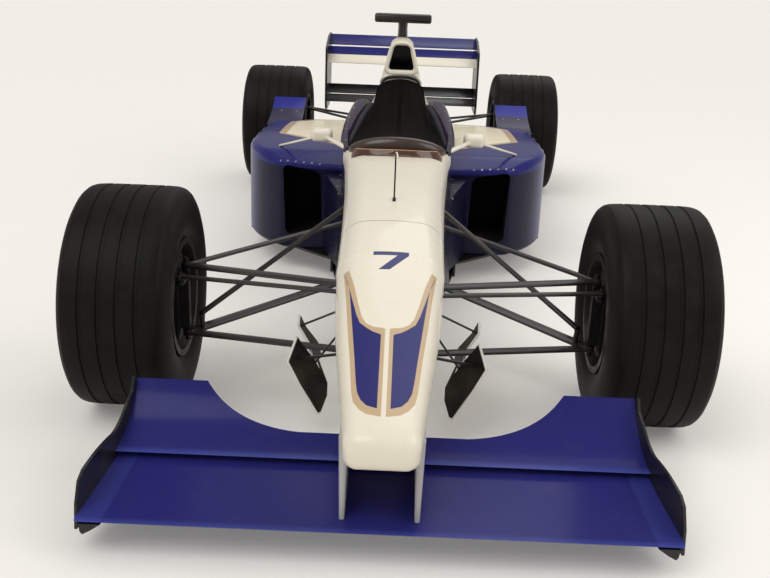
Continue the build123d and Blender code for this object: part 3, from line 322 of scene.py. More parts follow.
def rubber():
    """Tyre rubber: brown-black satin with moulding rings, scuffs and dust."""
    finish = Finish("tyre_rubber", Specular_IOR_Level=0.16)
    scuffs = finish.noise(26.0, 6.0, 0.62)
    rings = finish.x.wave(198.94) * 0.5 + 0.5
    colour = finish.blend(scuffs.above(0.52, 0.16), rgb(14, 12, 10), rgb(25, 21, 17))
    finish.set(Base_Color=colour, Roughness=0.40 + scuffs * 0.22)
    finish.bump(rings * 0.4 + finish.noise(500.0, 2.0) * 0.6, 0.00018, 0.5)
    return finish


def cloth():
    """Matt woven cover: fine threads, soft fading and lint."""
    finish = Finish("cover_cloth", Specular_IOR_Level=0.08)
    threads = finish.x.wave(420.17) * finish.y.wave(420.17) * 0.5 + 0.5
    faded = finish.noise(6.0, 5.0, 0.6)
    colour = finish.blend(faded.above(0.5, 0.22) * 0.5 + threads * 0.2, rgb(13, 11, 10), rgb(25, 20, 17))
    lint = finish.cells(90.0).above(0.045, 0.02)
    finish.set(Base_Color=finish.blend(lint, rgb(50, 42, 37), colour), Roughness=0.9)
    finish.bump(threads + finish.noise(60.0, 3.0) * 2.0, 0.0003, 0.5)
    return finish


def vinyl():
    """Brown coated cloth of the cover's front roll: soft creases under a satin sheen."""
    finish = Finish("cover_vinyl", Specular_IOR_Level=0.5, Coat_Weight=0.5, Coat_Roughness=0.12)
    creases = finish.noise(22.0, 4.0, 0.6, (0.4, 1.0, 1.0))
    grain = finish.cells(700.0)
    colour = finish.blend(creases.above(0.5, 0.2) * 0.5, rgb(52, 34, 25), rgb(78, 53, 39))
    finish.set(Base_Color=colour, Roughness=0.26 + creases * 0.16)
    finish.bump(grain * 0.2 + creases, 0.0009, 0.5)
    return finish


def padding(name="black_padding", tone=rgb(17, 14, 15), rough=0.55):
    """Leathercloth: fine grain cells and a soft sheen."""
    finish = Finish(name, Specular_IOR_Level=0.16)
    grain = finish.cells(620.0)
    wear = finish.noise(18.0, 4.0, 0.6)
    colour = finish.blend(wear.above(0.55, 0.2) * 0.5, tone, rgb(34, 30, 30))
    finish.set(Base_Color=colour, Roughness=rough - wear * 0.12)
    finish.bump(grain, 0.0003, 0.5)
    return finish


def smoke():
    """Smoked screen: see-through red-brown plastic, denser at its foot."""
    finish = Finish("smoked_screen", IOR=1.49, Coat_Weight=1.0)
    rise = finish.noise(30.0, 3.0)
    foot = 1 - (finish.z - 0.617).above(0.0, 0.012)
    finish.set(
        Base_Color=finish.blend(foot, rgb(92, 58, 44), rgb(132, 58, 38)),
        Alpha=(0.55 + foot * 0.2 + rise * 0.1).least(0.95),
        Roughness=0.06 + rise * 0.06,
    )
    return finish


def timber():
    """The skid plank: laminated brown board with fine plies and scratches along the car."""
    finish = Finish("plank_board")
    plies = finish.z.wave(900) * 0.5 + 0.5
    scratches = finish.noise(60.0, 5.0, 0.7, (1.0, 0.04, 1.0))
    colour = finish.blend(plies * 0.3 + scratches.above(0.55, 0.1) * 0.4, rgb(106, 78, 52), rgb(60, 44, 32))
    finish.set(Base_Color=colour, Roughness=0.6 + scratches * 0.2)
    finish.bump(scratches, 0.0004, 0.6)
    return finish


def core():
    """Radiator core: rows of thin dark fins between flat tubes."""
    finish = Finish("radiator_core", Metallic=0.6)
    fins = finish.x.wave(340) * 0.5 + 0.5
    tubes = finish.z.wave(90).above(0.72, 0.1)
    colour = finish.blend(tubes, finish.blend(fins, rgb(12, 12, 12), rgb(58, 58, 58)), rgb(76, 74, 72))
    finish.set(Base_Color=colour, Roughness=0.5 + fins * 0.2)
    finish.bump(fins + tubes, 0.0008, 0.8)
    return finish


def light_glass():
    """Red rain light: a grid of round lenses under a clear face."""
    finish = Finish("rain_light", Coat_Weight=1.0, Coat_Roughness=0.03)
    lens = finish.x.wave(100) * finish.z.wave(100) * 0.5 + 0.5
    finish.set(Base_Color=finish.blend(lens, rgb(96, 6, 6), rgb(190, 24, 20)), Roughness=0.12 + lens * 0.15)
    finish.bump(lens, 0.0012, 0.7)
    return finish


FINISHES = {
    "body_white": white_body(),
    "body_blue": lacquer(Finish("blue_bodywork"), BLUE, 1.2, 0.16, 0.14),
    "carbon": carbon("carbon_weave"),
    "pylon_grey": lacquer(Finish("pylon_paint"), rgb(186, 184, 182)),
    "plank_wood": timber(),
    "tyre_rubber": rubber(),
    "wheel_metal": metal("wheel_magnesium", rgb(66, 62, 60), 0.34, (1, 1, 1), 0.2),
    "upright_metal": metal("upright_castings", rgb(58, 56, 56), 0.42, (1, 1, 1), 0.4),
    "shaft_steel": metal("shaft_steel", rgb(124, 122, 120), 0.24, (30, 1, 1)),
    "casting": metal("gearbox_casting", rgb(112, 110, 106), 0.48, (1, 1, 1), 0.8),
    "core_metal": core(),
    "exhaust_metal": metal("exhaust_steel", rgb(150, 118, 88), 0.30, (1, 6, 1), 0.0, rgb(64, 52, 70)),
    "cover_fabric": cloth(),
    "screen_smoke": smoke(),
    "light_red": light_glass(),
}
SILVER = metal("hoop_silver", rgb(188, 182, 176), 0.16, (1, 1, 1), 0.0, rgb(120, 116, 112))
PADDING = padding()
STUD_STEEL = metal("stud_steel", rgb(196, 194, 190), 0.22)
VINYL = vinyl()
SHADOW = carbon("dark_inside", 190.0, rgb(9, 9, 9), 0.6)

# Shaping


def clear():
    """Object mode with nothing selected."""
    if bpy.context.object and bpy.context.object.mode != "OBJECT":
        bpy.ops.object.mode_set(mode="OBJECT")
    bpy.ops.object.select_all(action="DESELECT")


def hold(piece):
    """Selects one piece alone and makes it active."""
    clear()
    piece.select_set(True)
    bpy.context.view_layer.objects.active = piece


def named(name):
    """Names the piece that an operator has just added."""
    piece = bpy.context.object
    piece.name = piece.data.name = name
    return piece


def skin(name, rings):
    """A closed form drawn out from its first ring of points through all the others."""
    clear()
    bpy.ops.mesh.primitive_circle_add(vertices=len(rings[0]), fill_type="NGON")
    piece = named(name)
    for vertex, point in zip(piece.data.vertices, rings[0]):
        vertex.co = point
    bpy.ops.object.mode_set(mode="EDIT")
    mesh = bmesh.from_edit_mesh(piece.data)
    for old, new in zip(rings, rings[1:]):
        bpy.ops.mesh.extrude_region_move()
        carry([vertex for vertex in mesh.verts if vertex.select], old, new)
    outward()
    return piece


def outward():
    """Turns all faces of the mesh being edited outward and ends the edit."""
    bpy.ops.mesh.select_all(action="SELECT")
    bpy.ops.mesh.normals_make_consistent(inside=False)
    bpy.ops.object.mode_set(mode="OBJECT")


def carry(vertices, old, new):
    """Moves each vertex from its point of the old ring to the same point of the new one."""
    for vertex in vertices:
        nearest = min(range(len(old)), key=lambda spot: (Vector(old[spot]) - vertex.co).length_squared)
        vertex.co = new[nearest]


def modify(piece, kind, **settings):
    """Adds a modifier to a piece and applies it."""
    hold(piece)
    made = piece.modifiers.new(kind.lower(), kind)
    for name, value in settings.items():
        setattr(made, name, value)
    bpy.ops.object.modifier_apply(modifier=made.name)
    return piece


def bevel(piece, width, angle=50):
    """Rounds the edges that turn by more than an angle."""
    turn = math.radians(angle)
    return modify(piece, "BEVEL", width=width, segments=2, limit_method="ANGLE", angle_limit=turn)


def cut(piece, cutter, operation="DIFFERENCE"):
    """Cuts one piece out of another and drops the cutter."""
    modify(piece, "BOOLEAN", operation=operation, object=cutter, solver="EXACT")
    bpy.data.objects.remove(cutter)
    return piece


def together(name, pieces):
    """Joins pieces in one mesh."""
    clear()
    for piece in pieces:
        piece.select_set(True)
    bpy.context.view_layer.objects.active = pieces[0]
    bpy.ops.object.join()
    return named(name)


def copied(piece, name):
    hold(piece)
    bpy.ops.object.duplicate()
    return named(name)


def mirrored(piece, name):
    """The piece's copy on the other side of the car."""
    copy = copied(piece, name)
    bpy.ops.object.mode_set(mode="EDIT")
    bpy.ops.mesh.select_all(action="SELECT")
    bpy.ops.transform.mirror(
        constraint_axis=(True, False, False), orient_type="GLOBAL", center_override=(0, 0, 0),
    )
    outward()
    return copy


def both(piece, name):
    """The piece and its mirror image as one."""
    return together(name, [piece, mirrored(piece, name + "_copy")])


def done(piece, finish, *nodes, slot=None, sharp=35, body="chassis"):
    """Finishes a piece: shading, material, the body it rides on and the CAD nodes it stands for.

    The finish is given itself, or by the name of its slot where it is that slot's own.
    """
    if isinstance(finish, str):
        finish, slot = FINISHES[finish], finish
    hold(piece)
    bpy.ops.object.shade_smooth_by_angle(angle=math.radians(sharp))
    piece.data.materials.clear()
    piece.data.materials.append(finish.material)
    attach(piece, body)
    if nodes:
        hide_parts(*nodes)
    return piece


def repaint(piece, finish, chosen):
    """Gives a finish to the faces that chosen picks by their middle and the way they face."""
    piece.data.materials.append(finish.material)
    for face in piece.data.polygons:
        if chosen(face.center, face.normal):
            face.material_index = len(piece.data.materials) - 1


def through(first, second, third):
    """Centre and radius of the circle through three points."""
    (ax, ay), (bx, by), (cx, cy) = first, second, third
    d = 2 * (ax * (by - cy) + bx * (cy - ay) + cx * (ay - by))
    ux = ((ax**2 + ay**2) * (by - cy) + (bx**2 + by**2) * (cy - ay) + (cx**2 + cy**2) * (ay - by)) / d
    uy = ((ax**2 + ay**2) * (cx - bx) + (bx**2 + by**2) * (ax - cx) + (cx**2 + cy**2) * (bx - ax)) / d
    return ux, uy, math.hypot(ax - ux, ay - uy)


def arc(first, second, third, steps):
    """Points along the arc through three points."""
    x, y, radius = through(first, second, third)
    turns = [math.atan2(b - y, a - x) for a, b in (first, second, third)]
    for spot in (1, 2):
        turns[spot] = turns[spot - 1] + (turns[spot] - turns[spot - 1] + math.pi) % math.tau - math.pi
    return [
        Vector((x + radius * math.cos(turn), y + radius * math.sin(turn)))
        for turn in (turns[0] + (turns[2] - turns[0]) * step / steps for step in range(steps + 1))
    ]


def flowing(rows, gap):
    """Rows laid smoothly through the given ones at even steps of their first number, without overshoot."""
    slopes = []
    for spot, row in enumerate(rows):
        before, after = rows[max(spot - 1, 0)], rows[min(spot + 1, len(rows) - 1)]
        slope = []
        for k in range(len(row)):
            left = (row[k] - before[k]) / (row[0] - before[0]) if spot else None
            right = (after[k] - row[k]) / (after[0] - row[0]) if spot < len(rows) - 1 else None
            if left is None or right is None:
                slope.append(right if left is None else left)
            elif left * right <= 0:
                slope.append(0.0)
            else:
                slope.append(2 * left * right / (left + right))
        slopes.append(slope)
    laid = []
    for spot in range(len(rows) - 1):
        low, high = rows[spot], rows[spot + 1]
        span = high[0] - low[0]
        steps = max(1, round(span / gap))
        for step in range(steps):
            t = step / steps
            row = []
            for k in range(len(low)):
                a, b = slopes[spot][k] * span, slopes[spot + 1][k] * span
                row.append(
                    (2 * t**3 - 3 * t**2 + 1) * low[k]
                    + (t**3 - 2 * t**2 + t) * a
                    + (3 * t**2 - 2 * t**3) * high[k]
                    + (t**3 - t**2) * b
                )
            laid.append(row)
    laid.append(list(rows[-1]))
    return laid


def rounded(start, corner, end, steps):
    """Points along a corner rounded between two points on its sides."""
    start, corner, end = Vector(start), Vector(corner), Vector(end)
    points = []
    for step in range(steps + 1):
        t = step / steps
        weights = ((1 - t) ** 2, 1.4142 * t * (1 - t), t**2)
        points.append((start * weights[0] + corner * weights[1] + end * weights[2]) / sum(weights))
    return points


def full_ring(y, side):
    """A ring at y from the (x, height) points of its left half."""
    right = [(-point.x, point.y) for point in side[-2:0:-1]]
    return [(x, y, z) for x, z in [*side, *right]]


def section(y, half_low, half_high, low, high, crown, low_radius, high_radius, waist=0.0):
    """A ring across the body: flat keel, rounded corners, flanks drawn in by a waist and a crowned top."""

    def top(x):
        return high + crown * (1 - (x / half_high) ** 2)

    foot, head = Vector((half_low, low)), Vector((half_high, high))
    rise = (head - foot).normalized()
    first, last = foot + rise * low_radius, head - rise * high_radius
    side = [Vector((0, low)), Vector(((half_low - low_radius) * 0.6, low))]
    side += rounded((half_low - low_radius, low), foot, first, 5)
    for share in (0.2, 0.35, 0.5, 0.65, 0.8):
        point = first.lerp(last, share)
        side.append(point - Vector((waist * math.sin(math.pi * share) ** 0.8, 0)))
    inner = half_high - high_radius
    side += rounded(last, head, (inner, top(inner)), 8)
    side += [Vector((inner * share, top(inner * share))) for share in (0.66, 0.33, 0.0)]
    return full_ring(y, side)


def circle(steps):
    """Cosine and sine at even turns."""
    turns = [step * math.tau / steps for step in range(steps)]
    return [(math.cos(turn), math.sin(turn)) for turn in turns]


def stud(place, way, radius, proud=0.0015):
    """A small turned fastener set in a surface."""
    rise = Vector(way).normalized()
    side = rise.orthogonal().normalized()
    over = rise.cross(side)
    steps = ((1.0, -0.002), (1.0, proud * 0.6), (0.85, proud), (0.35, proud), (0.3, proud - 0.0007))
    return skin("stud", [
        [Vector(place) + (side * c + over * s) * radius * size + rise * lift for c, s in circle(12)]
        for size, lift in steps
    ])


def studs(name, carrier, places, radius=0.0046, signs=(1, -1)):
    """Fasteners on a piece, each at its surface's nearest point to an (x, station, height) place."""
    made = []
    for sign in signs:
        for x, station, z in places:
            _, spot, way, _ = carrier.closest_point_on_mesh(Vector((sign * x, front(station), z)))
            made.append(stud(spot, way, radius))
    done(together(name, made), STUD_STEEL, sharp=40)


def bead(name, points, radius, sides=8):
    """A thin round strip along a line of points."""
    points = [Vector(point) for point in points]
    rings = []
    for spot, point in enumerate(points):
        along = (points[min(spot + 1, len(points) - 1)] - points[max(spot - 1, 0)]).normalized()
        side = along.orthogonal().normalized() if not rings else (side - along * side.dot(along)).normalized()
        over = along.cross(side)
        rings.append([point + (side * c + over * s) * radius for c, s in circle(sides)])
    return skin(name, rings)


def corner_points(corners, spot, radius, steps):
    """Points along one corner of an outline, rounded by no more than it has room for."""
    corner = Vector(corners[spot])
    ways = Vector(corners[spot - 1]) - corner, Vector(corners[(spot + 1) % len(corners)]) - corner
    room = min(radius, *(way.length * 0.49 for way in ways))
    start, end = (corner + way.normalized() * room for way in ways)
    return rounded(start, corner, end, steps)


def outline_ring(place, corners, radius, steps=5):
    """A ring with rounded corners: place puts each (a, b) point in space."""
    points = [point for spot in range(len(corners)) for point in corner_points(corners, spot, radius, steps)]
    return [place(point.x, point.y) for point in points]


def across(station):
    """Places (a, b) points in the plane across the car at a station."""
    return lambda a, b: (a, front(station), b)


def beside(x):
    """Places (station, height) points in the plane along the car at a distance from its middle."""
    return lambda a, b: (x, front(a), b)


def box_corners(a_low, b_low, a_high, b_high):
    return (a_low, b_low), (a_high, b_low), (a_high, b_high), (a_low, b_high)


def bar(name, start, end, wide, thick, way=(0, 1, 0), sides=20, taper=1.0):
    """A streamlined stay between two points."""
    start, end = Vector(start), Vector(end)
    along = (end - start).normalized()
    flat = (Vector(way) - along * Vector(way).dot(along)).normalized()
    up = along.cross(flat)
    rings = []
    for share in (0.0, 0.02, 0.5, 0.98, 1.0):
        size = (0.8 if share in (0.0, 1.0) else 1.0) * (1 + (taper - 1) * share)
        centre = start.lerp(end, share)
        half_wide, half_thick = flat * wide / 2 * size, up * thick / 2 * size
        rings.append([centre + half_wide * c + half_thick * s for c, s in circle(sides)])
    return skin(name, rings)


# Camera, floor and light

bpy.context.scene.view_settings.view_transform = "Standard"
camera = bpy.data.objects.new("camera", bpy.data.cameras.new("camera"))
bpy.context.collection.objects.link(camera)
bpy.context.scene.camera = camera
camera.data.lens = 46.374
camera.data.sensor_width = 36
yaw, pitch, roll = (math.radians(angle) for angle in (-0.6396, 18.7583, 2.1547))
camera.matrix_world = (
    Matrix.Translation((0.0152, front(-2.7601), 1.3112))
    @ Matrix.Rotation(-yaw, 4, "Z")
    @ Matrix.Rotation(math.pi / 2 - pitch, 4, "X")
    @ Matrix.Rotation(roll, 4, "Z")
)

clear()
bpy.ops.mesh.primitive_plane_add(size=160, location=(0, 0, 0))
floor = named("studio_floor")
paving = Finish("pale_floor", Specular_IOR_Level=0.0)
speckle = paving.noise(3.0, 4.0)
paving.set(Base_Color=paving.blend(speckle * 0.25, rgb(232, 229, 224), rgb(222, 218, 212)), Roughness=0.8)
glow = paving.blend(paving.ray("Camera"), rgb(0, 0, 0), rgb(104, 103, 101))
paving.set(Emission_Color=glow, Emission_Strength=1.0)
floor.data.materials.append(paving.material)

world = bpy.data.worlds.new("studio")
bpy.context.scene.world = world
world.use_nodes = True
sky = Nodes(world.node_tree)
backdrop = sky.tree.nodes["Background"]
SKY_LIGHT, SKY_SEEN, SKY_MIRRORED = 0.62, 0.88, 0.62
seen = sky.ray("Camera").most(sky.ray("Transmission"))
dimmed = 1 - sky.ray("Glossy") * (1 - SKY_MIRRORED)
sky.join((1.0, 0.985, 0.96, 1.0), backdrop.inputs[0])
sky.join((seen * (SKY_SEEN - SKY_LIGHT) + SKY_LIGHT) * dimmed, backdrop.inputs[1])

# Columns: name, kind, place, target, size or angle, power.
for name, kind, place, target, size, power in (
    ("key_light", "SUN", (-3.2, -3.6, 6.6), (0, -0.4, 0.3), 0.7, 0.9),
    ("back_light", "SUN", (1.5, 5.2, 5.0), (0, 1.0, 0.5), 0.7, 0.35),
    ("fill_light", "AREA", (4.2, -2.2, 3.6), (0, 0, 0.3), 3.0, 60),
):
    lamp = bpy.data.objects.new(name, bpy.data.lights.new(name, kind))
    bpy.context.collection.objects.link(lamp)
    if kind == "SUN":
        lamp.data.angle = size
    else:
        lamp.data.size = size
    lamp.data.energy = power
    lamp.location = place
    lamp.rotation_euler = (Vector(target) - Vector(place)).to_track_quat("-Z", "Y").to_euler()

# Nose and tub

# Columns: station, half width low and high, height low and high, crown, corner radius low and high.
NOSE = (
    (-0.845, 0.084, 0.086, 0.248, 0.326, 0.009, 0.022, 0.032),
    (-0.640, 0.100, 0.113, 0.252, 0.392, 0.012, 0.026, 0.044),
    (-0.440, 0.116, 0.138, 0.262, 0.462, 0.014, 0.030, 0.054),
    (-0.200, 0.138, 0.150, 0.285, 0.532, 0.015, 0.034, 0.062),
)
TIP = (
    (-0.8695, 0.046, 0.042, 0.268, 0.292, 0.004, 0.010, 0.010),
    (-0.8665, 0.062, 0.060, 0.258, 0.304, 0.006, 0.016, 0.020),
    (-0.8600, 0.074, 0.074, 0.252, 0.315, 0.008, 0.020, 0.027),
)
TUB = (
    NOSE[-1],
    (0.000, 0.146, 0.152, 0.278, 0.566, 0.016, 0.036, 0.066),
    (0.400, 0.160, 0.165, 0.236, 0.606, 0.018, 0.040, 0.068),
    (0.840, 0.196, 0.190, 0.096, 0.624, 0.020, 0.040, 0.060),
    (1.000, 0.228, 0.206, 0.050, 0.597, 0.006, 0.030, 0.030),
    (1.850, 0.250, 0.222, 0.050, 0.600, 0.006, 0.030, 0.030),
)


def body_rings(rows):
    """Rings of a body from rows of a station and its section's sizes."""
    return [section(front(row[0]), *row[1:]) for row in rows]


NOSE_END = 0.0007
nose_rows = flowing(NOSE, 0.03)
nose_rows[-1] = [nose_rows[-1][0] - NOSE_END, *nose_rows[-1][1:]]
nose = skin("nose", body_rings((*TIP, *nose_rows)))
RACK_STATION, RACK_HEIGHT = -0.262, 0.447
tunnel = skin("tunnel", [
    outline_ring(lambda a, b: (x, front(RACK_STATION) + a, RACK_HEIGHT + b),
                 box_corners(-0.05, -0.0143, 0.05, 0.0143), 0.014)
    for x in (-0.2, 0.2)
])
cut(nose, tunnel)
done(nose, "body_white", "nose_cone")

tub = skin("tub", body_rings(flowing(TUB, 0.04)))
COCKPIT_FRONT, COCKPIT_BACK, COCKPIT_HALF = 0.685, 1.700, 0.160
opening = skin("opening", [
    outline_ring(lambda a, b: (a, front(b), z),
                 box_corners(-COCKPIT_HALF, COCKPIT_FRONT, COCKPIT_HALF, COCKPIT_BACK), 0.06, 7)
    for z in (0.50, 0.72)
])
# Columns: station, half width, floor height, roof height.
CAVITY = (
    (0.33, 0.130, 0.290, 0.560), (0.84, 0.160, 0.126, 0.570),
    (1.0, 0.198, 0.080, 0.560), (1.70, 0.220, 0.080, 0.560),
)
cavity = skin("cavity", [
    outline_ring(across(station), box_corners(-half, low, half, high), 0.03)
    for station, half, low, high in CAVITY
])
cut(tub, cavity)
cut(tub, opening)
done(tub, "body_white", "monocoque", sharp=30)

# Cockpit sides, screen and cover

RAIL_FRONT, RAIL_BACK, RAIL_TOP = 0.985, 1.760, 0.680


def rail_share(station):
    """How far along the cockpit sides a station lies, from 0 at the front."""
    return max(0.0, (station - RAIL_FRONT) / (RAIL_BACK - RAIL_FRONT))


def rail_height(station):
    """Height of the cockpit sides, rising to the roll hoop and rounded down behind it."""
    if station > RAIL_BACK:
        return RAIL_TOP - 0.072 * min(1.0, (station - RAIL_BACK) / 0.082) ** 2
    return RAIL_TOP - 0.074 * (1 - rail_share(station) ** 0.85)


# Columns: station, inner edge, outer edge at the top, outer edge at the foot.
RAIL = (
    (0.960, 0.186, 0.196, 0.199), (1.060, 0.194, 0.206, 0.212), (1.150, 0.192, 0.216, 0.226),
    (1.250, 0.185, 0.224, 0.233), (1.400, 0.176, 0.226, 0.237), (1.600, 0.158, 0.217, 0.238),
    (1.760, 0.137, 0.206, 0.238), (1.805, 0.132, 0.192, 0.226), (1.842, 0.128, 0.160, 0.200),
)


def rail_ring(station, inner, outer, foot):
    high = rail_height(station)
    corners = (
        (inner, 0.585), (foot, 0.575), (foot - 0.002, 0.598), (outer, high - 0.018),
        (outer - 0.018, high), (inner + 0.01, high), (inner, high - 0.012),
    )
    return outline_ring(across(station), corners, 0.013, 4)


rail = skin("rail", [rail_ring(*row) for row in flowing(RAIL, 0.04)])
bevel(rail, 0.003)
rails = both(rail, "cockpit_rails")
rail_paint = lacquer(Finish("rail_paint"), rgb(46, 30, 60), 1.0, 0.14, 0.18)
done(rails, rail_paint, "cockpit_surround", slot="body_blue", sharp=50)


def pad_ring(station, inner, wide):
    high = rail_height(station) - 0.008
    corners = (
        (inner - wide, high - 0.060), (inner + 0.002, high - 0.060),
        (inner + 0.002, high + 0.003), (inner - wide + 0.006, high - 0.004),
    )
    return outline_ring(across(station), corners, 0.012, 4)


pad = skin("pad", [
    pad_ring(station, inner, 0.026 + 0.014 * rail_share(station))
    for station, inner, *_ in flowing(RAIL[1:7], 0.05)
])
modify(pad, "SUBSURF", levels=1, render_levels=1)
pads = both(pad, "cockpit_padding")
done(pads, padding("cockpit_leathercloth", rgb(16, 14, 34)), sharp=60)

SCREEN_HALF, SCREEN_BACK, SCREEN_TIP = 0.166, 0.732, 0.650


def tub_top(x):
    """Height of the tub's top at the screen's foot."""
    return 0.637 - 0.6 * x * x - 12.0 * max(0.0, abs(x) - 0.122) ** 2


def screen_point(x, up, back=0.0):
    """A point of the screen: up runs from its foot to its straight top edge."""
    foot = tub_top(x) - 0.004
    rise = (0.660 - 0.5 * x * x - foot) * min(1.0, (SCREEN_HALF + 0.004 - abs(x)) / 0.022) ** 0.5
    bow = math.sqrt(max(0.0, 1 - (x / (SCREEN_HALF * 1.04)) ** 2))
    station = SCREEN_BACK - (SCREEN_BACK - SCREEN_TIP) * (bow - 0.27) / 0.73
    return (x * (1 - rise * up), front(station + back + rise * up * 0.5), foot + rise * up)


screen_spots = [SCREEN_HALF * math.sin(math.pi / 2 * (-1 + spot / 20)) for spot in range(41)]
screen_section = [(up, 0.0) for up in (0.0, 0.5, 1.0)] + [(up, 0.0032) for up in (1.0, 0.5, 0.0)]
screen = skin("screen", [[screen_point(x, up, back) for up, back in screen_section] for x in screen_spots])
bevel(screen, 0.0008)
done(screen, "screen_smoke", "windscreen")
# A tan strip along the screen's top edge: a painted highlight where the edge catches the light.
screen_edge = bead("screen_edge", [screen_point(x, 1.0, 0.0014) for x in screen_spots[1:-1]], 0.0019)
fairing_ends = (0, front(0.622), 0.6375), (0, front(0.672), 0.6545)
fairing = bar("screen_fairing", *fairing_ends, 0.016, 0.013, (1, 0, 0), 16, 0.5)
done(screen_edge, lacquer(Finish("screen_edge_highlight"), rgb(196, 146, 108)), sharp=60)
done(fairing, FINISHES["body_white"], sharp=60)

# The padded roll in front of the cover.
ROLL_HALF = 0.176
roll_rings = []
for spot in range(33):
    x = ROLL_HALF * math.sin(math.pi / 2 * (-1 + spot / 16))
    share = abs(x) / ROLL_HALF
    top, low = 0.690 - 0.036 * share**2, 0.617 - 0.008 * share
    size = math.sqrt(max(0.02, 1 - share**6))
    y = front(0.757 + 1.5 * x * x)
    roll_rings.append([
        (x, y + 0.026 * size * c, (top + low) / 2 + (top - low) / 2 * size * s) for c, s in circle(24)
    ])
roll = skin("cover_roll", roll_rings)
modify(roll, "SUBSURF", levels=1, render_levels=1)
done(roll, VINYL, sharp=60)

# Columns: way along the cloth, station, half width, edge height, height at the middle, bow of the row.
COVER = (
    (0.000, 0.768, 0.160, 0.640, 0.686, 0.040), (0.050, 0.818, 0.174, 0.620, 0.688, 0.034),
    (0.120, 0.888, 0.181, 0.611, 0.689, 0.022), (0.200, 0.968, 0.180, 0.612, 0.689, 0.012),
    (0.260, 1.030, 0.175, 0.614, 0.690, 0.004), (0.320, 1.090, 0.170, 0.620, 0.692, 0.0),
    (0.430, 1.200, 0.160, 0.630, 0.701, 0.0), (0.580, 1.350, 0.142, 0.643, 0.724, 0.0),
    (0.730, 1.500, 0.126, 0.657, 0.747, 0.0), (0.870, 1.640, 0.113, 0.676, 0.764, 0.0),
    (0.940, 1.710, 0.106, 0.706, 0.769, 0.0), (0.992, 1.760, 0.097, 0.746, 0.773, 0.0),
)
cover_rows = flowing(COVER, 0.0125)
ACROSS = 28
clear()
bpy.ops.mesh.primitive_grid_add(x_subdivisions=ACROSS, y_subdivisions=len(cover_rows) - 1, size=2)
cover = named("cockpit_cover_cloth")
held_points = []
for vertex in cover.data.vertices:
    share, along = vertex.co.x, round((vertex.co.y + 1) / 2 * (len(cover_rows) - 1))
    _, station, half, edge, mid, bow = cover_rows[along]
    if abs(share) > 0.99 or along < 3 or along > len(cover_rows) - 3:
        held_points.append(vertex.index)
    height = edge + (mid - edge) * (1 - abs(share) ** 2.2)
    vertex.co = (share * half, front(station + bow * share * share), height)
cover.vertex_groups.new(name="held_edge").add(held_points, 1.0, "REPLACE")
hold(cover)
drape = cover.modifiers.new("drape", "CLOTH")
drape.settings.quality = 6
drape.settings.mass = 0.25
drape.settings.tension_stiffness = 25
drape.settings.compression_stiffness = 6
drape.settings.shrink_min = -0.012
drape.settings.bending_stiffness = 0.4
drape.settings.vertex_group_mass = "held_edge"
drape.collision_settings.use_collision = False
for tick in range(1, 19):
    bpy.context.scene.frame_set(tick)
bpy.ops.object.modifier_apply(modifier="drape")
bpy.context.scene.frame_set(1)
modify(cover, "SOLIDIFY", thickness=0.0022, offset=0.0)
modify(cover, "SUBSURF", levels=1, render_levels=1)
done(cover, "cover_fabric", "cockpit_cover", sharp=60)


def hem_ring(spot, radius):
    _, station, half, edge, _, bow = cover_rows[spot]
    y = front(station + bow)
    return [(half + radius * c, y, edge + radius * s) for c, s in circle(10)]


hem = skin("hem", [hem_ring(spot, 0.0036) for spot in range(1, len(cover_rows), 2)])
hems = both(hem, "cover_hem")
done(hems, "cover_fabric", sharp=60)

# Roll hoop, intake and engine cover

MOUTH_LOW, MOUTH_TOP, MOUTH_HALF_LOW, MOUTH_HALF_HIGH = 0.812, 0.922, 0.060, 0.034
HOOP = 1.765


def waisted_ring(y, half_foot, foot, half_bend, bend, half_neck, neck, half_top, top):
    """A ring across the engine cover: flanks swept in by an arc to a narrow neck, then straight up."""
    crown, radius = 0.012, 0.018
    head, base = Vector((half_top, top)), Vector((half_neck, neck))
    last, inner = head + (base - head).normalized() * radius, half_top - radius
    side = [Vector((0, foot)), Vector((half_foot * 0.5, foot))]
    side += arc((half_foot, foot), (half_bend, bend), (half_neck, neck), 16)
    side += [base.lerp(last, share) for share in (0.25, 0.5, 0.75)]
    side += rounded(last, head, (inner, top + crown * (1 - (inner / half_top) ** 2)), 7)
    side += [Vector((inner * 0.5, top + crown * (1 - (inner / half_top) ** 2 / 4))), Vector((0, top + crown))]
    return full_ring(y, side)


# Columns: station, then half width and height at the foot, bend, neck and top.
INTAKE = (
    (1.765, 0.172, 0.560, 0.106, 0.665, 0.082, 0.790, 0.045, 0.938),
    (1.850, 0.184, 0.560, 0.108, 0.665, 0.084, 0.790, 0.046, 0.938),
)
COVER_BODY = (
    (1.850, 0.250, 0.482, 0.122, 0.650, 0.084, 0.790, 0.046, 0.938),
    (2.380, 0.250, 0.458, 0.124, 0.620, 0.080, 0.750, 0.042, 0.890),
    (2.790, 0.230, 0.408, 0.112, 0.540, 0.062, 0.640, 0.032, 0.750),
    (3.200, 0.110, 0.372, 0.064, 0.430, 0.038, 0.476, 0.020, 0.530),
)


def waisted_body(name, rows, gap):
    return skin(name, [waisted_ring(front(row[0]), *row[1:]) for row in flowing(rows, gap)])


def mouth_shape(wide=0.0, low=0.0, narrow=0.0, high=0.0):
    """The corners of the intake's mouth, moved out at its foot and at its top."""
    foot, head = MOUTH_HALF_LOW + wide, MOUTH_HALF_HIGH + narrow
    bottom, top = MOUTH_LOW - low, MOUTH_TOP + high
    return (-foot, bottom), (foot, bottom), (head, top), (-head, top)


